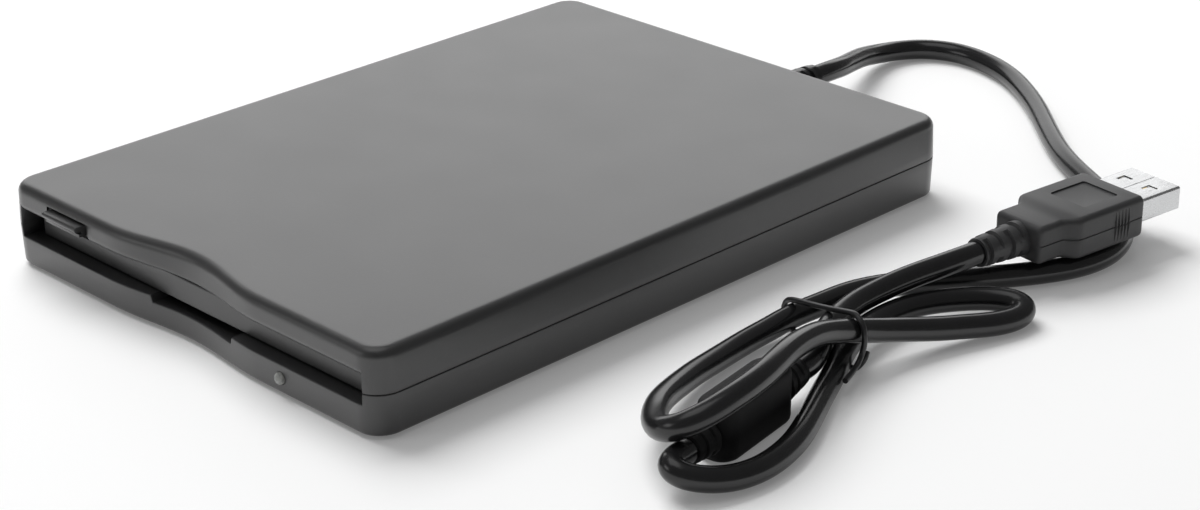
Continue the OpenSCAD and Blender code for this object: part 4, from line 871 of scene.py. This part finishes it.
# %% Bottom shell
chin_edge = JOINT_Z - (JOINT_Z - CHIN_Z) * in_slot - NOTCH_DROP * in_notch
shell_body = half_case(FLOOR_IN, chin_edge, JOINT_ROUND, 1, CASE_BASE, BASE_ROUND)
LIGHT_X, LIGHT_Z, LIGHT_R = 26.8, 3.5, 1.1
light_hole = turned([(LIGHT_R + 0.1, 60), (LIGHT_R + 0.1, 74)], 32, at=(LIGHT_X, 0, LIGHT_Z), **facing)
foot_holes = [turned([(4.5, -1), (4.5, 0.8)], at=(x, y, 0))
              for x in (-42.5, 42.5) for y in (-62.5, 62.5)]
screw_holes = [turned([(2.4, -1), (2.4, 2.2)], 32, at=(s * BOSS_X, BOSS_Y, 0)) for s in (-1, 1)]
screw_posts = [ring_form(placed(round_about([
    (1.35, 8.2), (1.35, 3.0), (2.4, 3.0), (2.4, 1.6), (3.3, 1.6), (3.3, 8.2)]),
    at=(s * BOSS_X, BOSS_Y, 0))) for s in (-1, 1)]
works_posts = [sleeve(1.02, 2.4, 1.6, 2.9, at=(x, y, 0)) for x in (-41.5, 41.5) for y in (-54, 44.8)]
board_posts = [turned([(1.8, 1.6), (1.8, 4.45), (1.75, 4.5)], 28, at=(x, 65, 0)) for x in (-33, -3.5)]
board_ribs = [soft_box((x - 0.5, -58, 1.6), (x + 0.5, 31, 1.95), 0.1, 0.05, 3) for x in (-30, 0, 30)]
make_piece("bottom", together(
    cut_away(shell_body, cord_hole, light_hole, *foot_holes, *screw_holes), *screw_posts, *works_posts,
    *board_posts, *board_ribs), "case", "case_grey", ("bottom_shell",))


# %% [markdown]
# The dust door is a long flap that hangs from two pins in the slot's posts. The eject button is one
# bar whose section has a rounded ledge for the fingertip, a groove below it and a small lower lip.

# %% Bars with a section
def bar(section, first, last, rounding=0.12, **place):
    """A section (across, up) carried along X, drawn in by a rounding at both ends."""
    section = np.asarray(section, float)
    way = np.roll(section, -1, 0) - np.roll(section, 1, 0)
    normal = np.stack([way[:, 1], -way[:, 0]], -1) / np.linalg.norm(way, axis=1, keepdims=True)
    after = np.roll(section, -1, 0)
    area = 0.5 * np.sum(section[:, 0] * after[:, 1] - section[:, 1] * after[:, 0])
    levels = eased_levels(first, last, rounding, 4)
    rings = [np.column_stack([np.full(len(section), x), section - inset * np.sign(area) * normal])
             for x, inset in levels]
    return closed_form(placed(np.stack(rings), **place))


def arc(cy, cz, radius, first, last, steps=9):
    """Points of an arc in the section, between two angles in degrees."""
    a = np.radians(np.linspace(first, last, steps))
    return np.stack([cy + radius * np.cos(a), cz + radius * np.sin(a)], -1)


button_section = np.vstack([
    [(-66.4, 11.95), (-72.0, 11.95)], arc(-72.03, 12.1, 0.15, 270, 180, 4),
    [(-72.18, 12.5)], arc(-72.06, 12.5, 0.12, 180, 90, 4), [(-71.5, 12.66), (-71.5, 12.86)],
    arc(-72.52, 13.4875, 0.5125, 268, 92, 12), [(-66.4, 14.0)]])
make_piece("eject_key", bar(button_section, -38.3, -28.0), "slide", "case_grey",
           ("eject_button",))

# %% Dust door
door_section = np.vstack([
    [(-68.4, 10.5), (-68.4, 6.5)], arc(-68.15, 6.5, 0.25, 180, 270, 5),
    arc(-67.65, 6.5, 0.25, 270, 360, 5),
    [(-67.4, 10.5)], arc(HINGE_Y, HINGE_Z, 0.5, 0, 180, 11)])
door_pins = turned([(0.25, -49.0), (0.35, -48.9), (0.35, 48.9), (0.25, 49.0)], 24,
                   at=(0, HINGE_Y, HINGE_Z), **across)
make_piece("dust_door", together(bar(door_section, -45, 45, 0.15), door_pins), "door",
           "door_black", ("door_flap",))

# %% [markdown]
# The status light is a clear lens with a low dome, a barrel through the chin and two legs.

# %% Status light
dome = np.radians(np.linspace(0, 88, 9))
lens_profile = [(0.05, -6.8), (LIGHT_R - 0.05, -6.8), (LIGHT_R, -6.7), (LIGHT_R, 0.0)] + [
    (LIGHT_R * math.cos(a), 0.8 * math.sin(a)) for a in dome[1:]]
lens = turned(lens_profile, 40, at=(LIGHT_X, -71.5, LIGHT_Z), **facing)
legs = [soft_box((x - 0.2, -64.9, 3.2), (x + 0.2, -60.6, 3.6), 0.1, 0.05, 3)
        for x in (LIGHT_X - 0.6, LIGHT_X + 0.6)]
make_piece("status_light", together(lens, *legs), "case", "clear_lens", ("status_led",))

# %% [markdown]
# ## Finishing what the CAD gave
# The works inside are already shaped as they should be, so those parts stay as they are, and each
# takes the finish of its own slot in the record.

# %% Finishes for the carried parts
for part in frame["record"]["subparts"]:
    carried = frame["nodes"][part["node"]].data
    carried.materials.clear()
    carried.materials.append(FINISHES[part["material_slot"]])
print(len(frame["nodes"]) - len(REPLACED), "carried parts finished")

# %% [markdown]
# ## Floor and light
# The drive stands on a white floor. The key lamp is high on the left: it gives the shadows, and
# no surface mirrors it. A wide, low lamp behind to the left lies where the top face mirrors it
# and gives that face its sheen. Two weaker ones, overhead and low at the front left, fill the rest.

# %% Floor
FLOOR_GLOW = 0.14  # share of plain white in the floor that the camera sees
tree, shader = new_finish("floor_white")
set_shader(tree, shader, Base_Color=(0.95, 0.95, 0.95), Roughness=0.9,
           Normal=bump(tree, noise(tree, place_of(tree), 1.5, 2.0), 0.01), Specular_IOR_Level=0.1)
rays = add_node(tree, "ShaderNodeLightPath")
seen = rays.outputs["Is Camera Ray"]
for name in ("Is Glossy Ray", "Is Transmission Ray"):
    seen = add_node(tree, "ShaderNodeMath", {0: seen, 1: rays.outputs[name]},
                    operation="MAXIMUM").outputs[0]
lift = add_node(tree, "ShaderNodeMath", {0: seen, 1: FLOOR_GLOW}, operation="MULTIPLY").outputs[0]
white = add_node(tree, "ShaderNodeEmission", {"Color": (1, 1, 1, 1), "Strength": 1.0})
mixed = add_node(tree, "ShaderNodeMixShader", {0: lift, 1: shader.outputs[0], 2: white.outputs[0]})
tree.links.new(mixed.outputs[0], tree.nodes["Material Output"].inputs["Surface"])
floor_mesh = bpy.data.meshes.new("floor")
floor_mesh.from_pydata([(-6, -6, 0), (6, -6, 0), (6, 6, 0), (-6, 6, 0)], [], [(0, 1, 2, 3)])
floor_mesh.materials.append(FINISHES.pop("floor_white"))
floor = bpy.data.objects.new("floor", floor_mesh)
bpy.context.scene.collection.objects.link(floor)


# %% Lamps
LIT_MIDDLE = Vector((0.02, 0.01, 0.01))
WORLD_LIGHT = 0.15


def softbox(name, around, above, distance, width, height, brightness):
    """A rectangular lamp facing the object; brightness is what a mirror would show of it, 1 = white."""
    lamp = bpy.data.lights.new(name, "AREA")
    lamp.shape, lamp.size, lamp.size_y = "RECTANGLE", width, height
    lamp.energy = brightness * math.pi * width * height
    item = bpy.data.objects.new(name, lamp)
    item.matrix_world = Matrix.Translation(
        LIT_MIDDLE + distance * direction(around, above)) @ looking_back(around, above)
    bpy.context.scene.collection.objects.link(item)
    return item


softbox("key", 258, 52, 1.8, 1.3, 1.1, 7.2).visible_glossy = False
softbox("sheen", 230, 21, 1.7, 1.9, 0.8, 1.45)
softbox("overhead", 300, 80, 1.6, 1.2, 1.2, 1.0)
softbox("front_left", 330, 22, 1.8, 0.8, 0.5, 1.5)
world = bpy.data.worlds.new("studio")
world.use_nodes = True
world.node_tree.nodes["Background"].inputs["Color"].default_value = (1, 1, 1, 1)
world.node_tree.nodes["Background"].inputs["Strength"].default_value = WORLD_LIGHT
bpy.context.scene.world = world
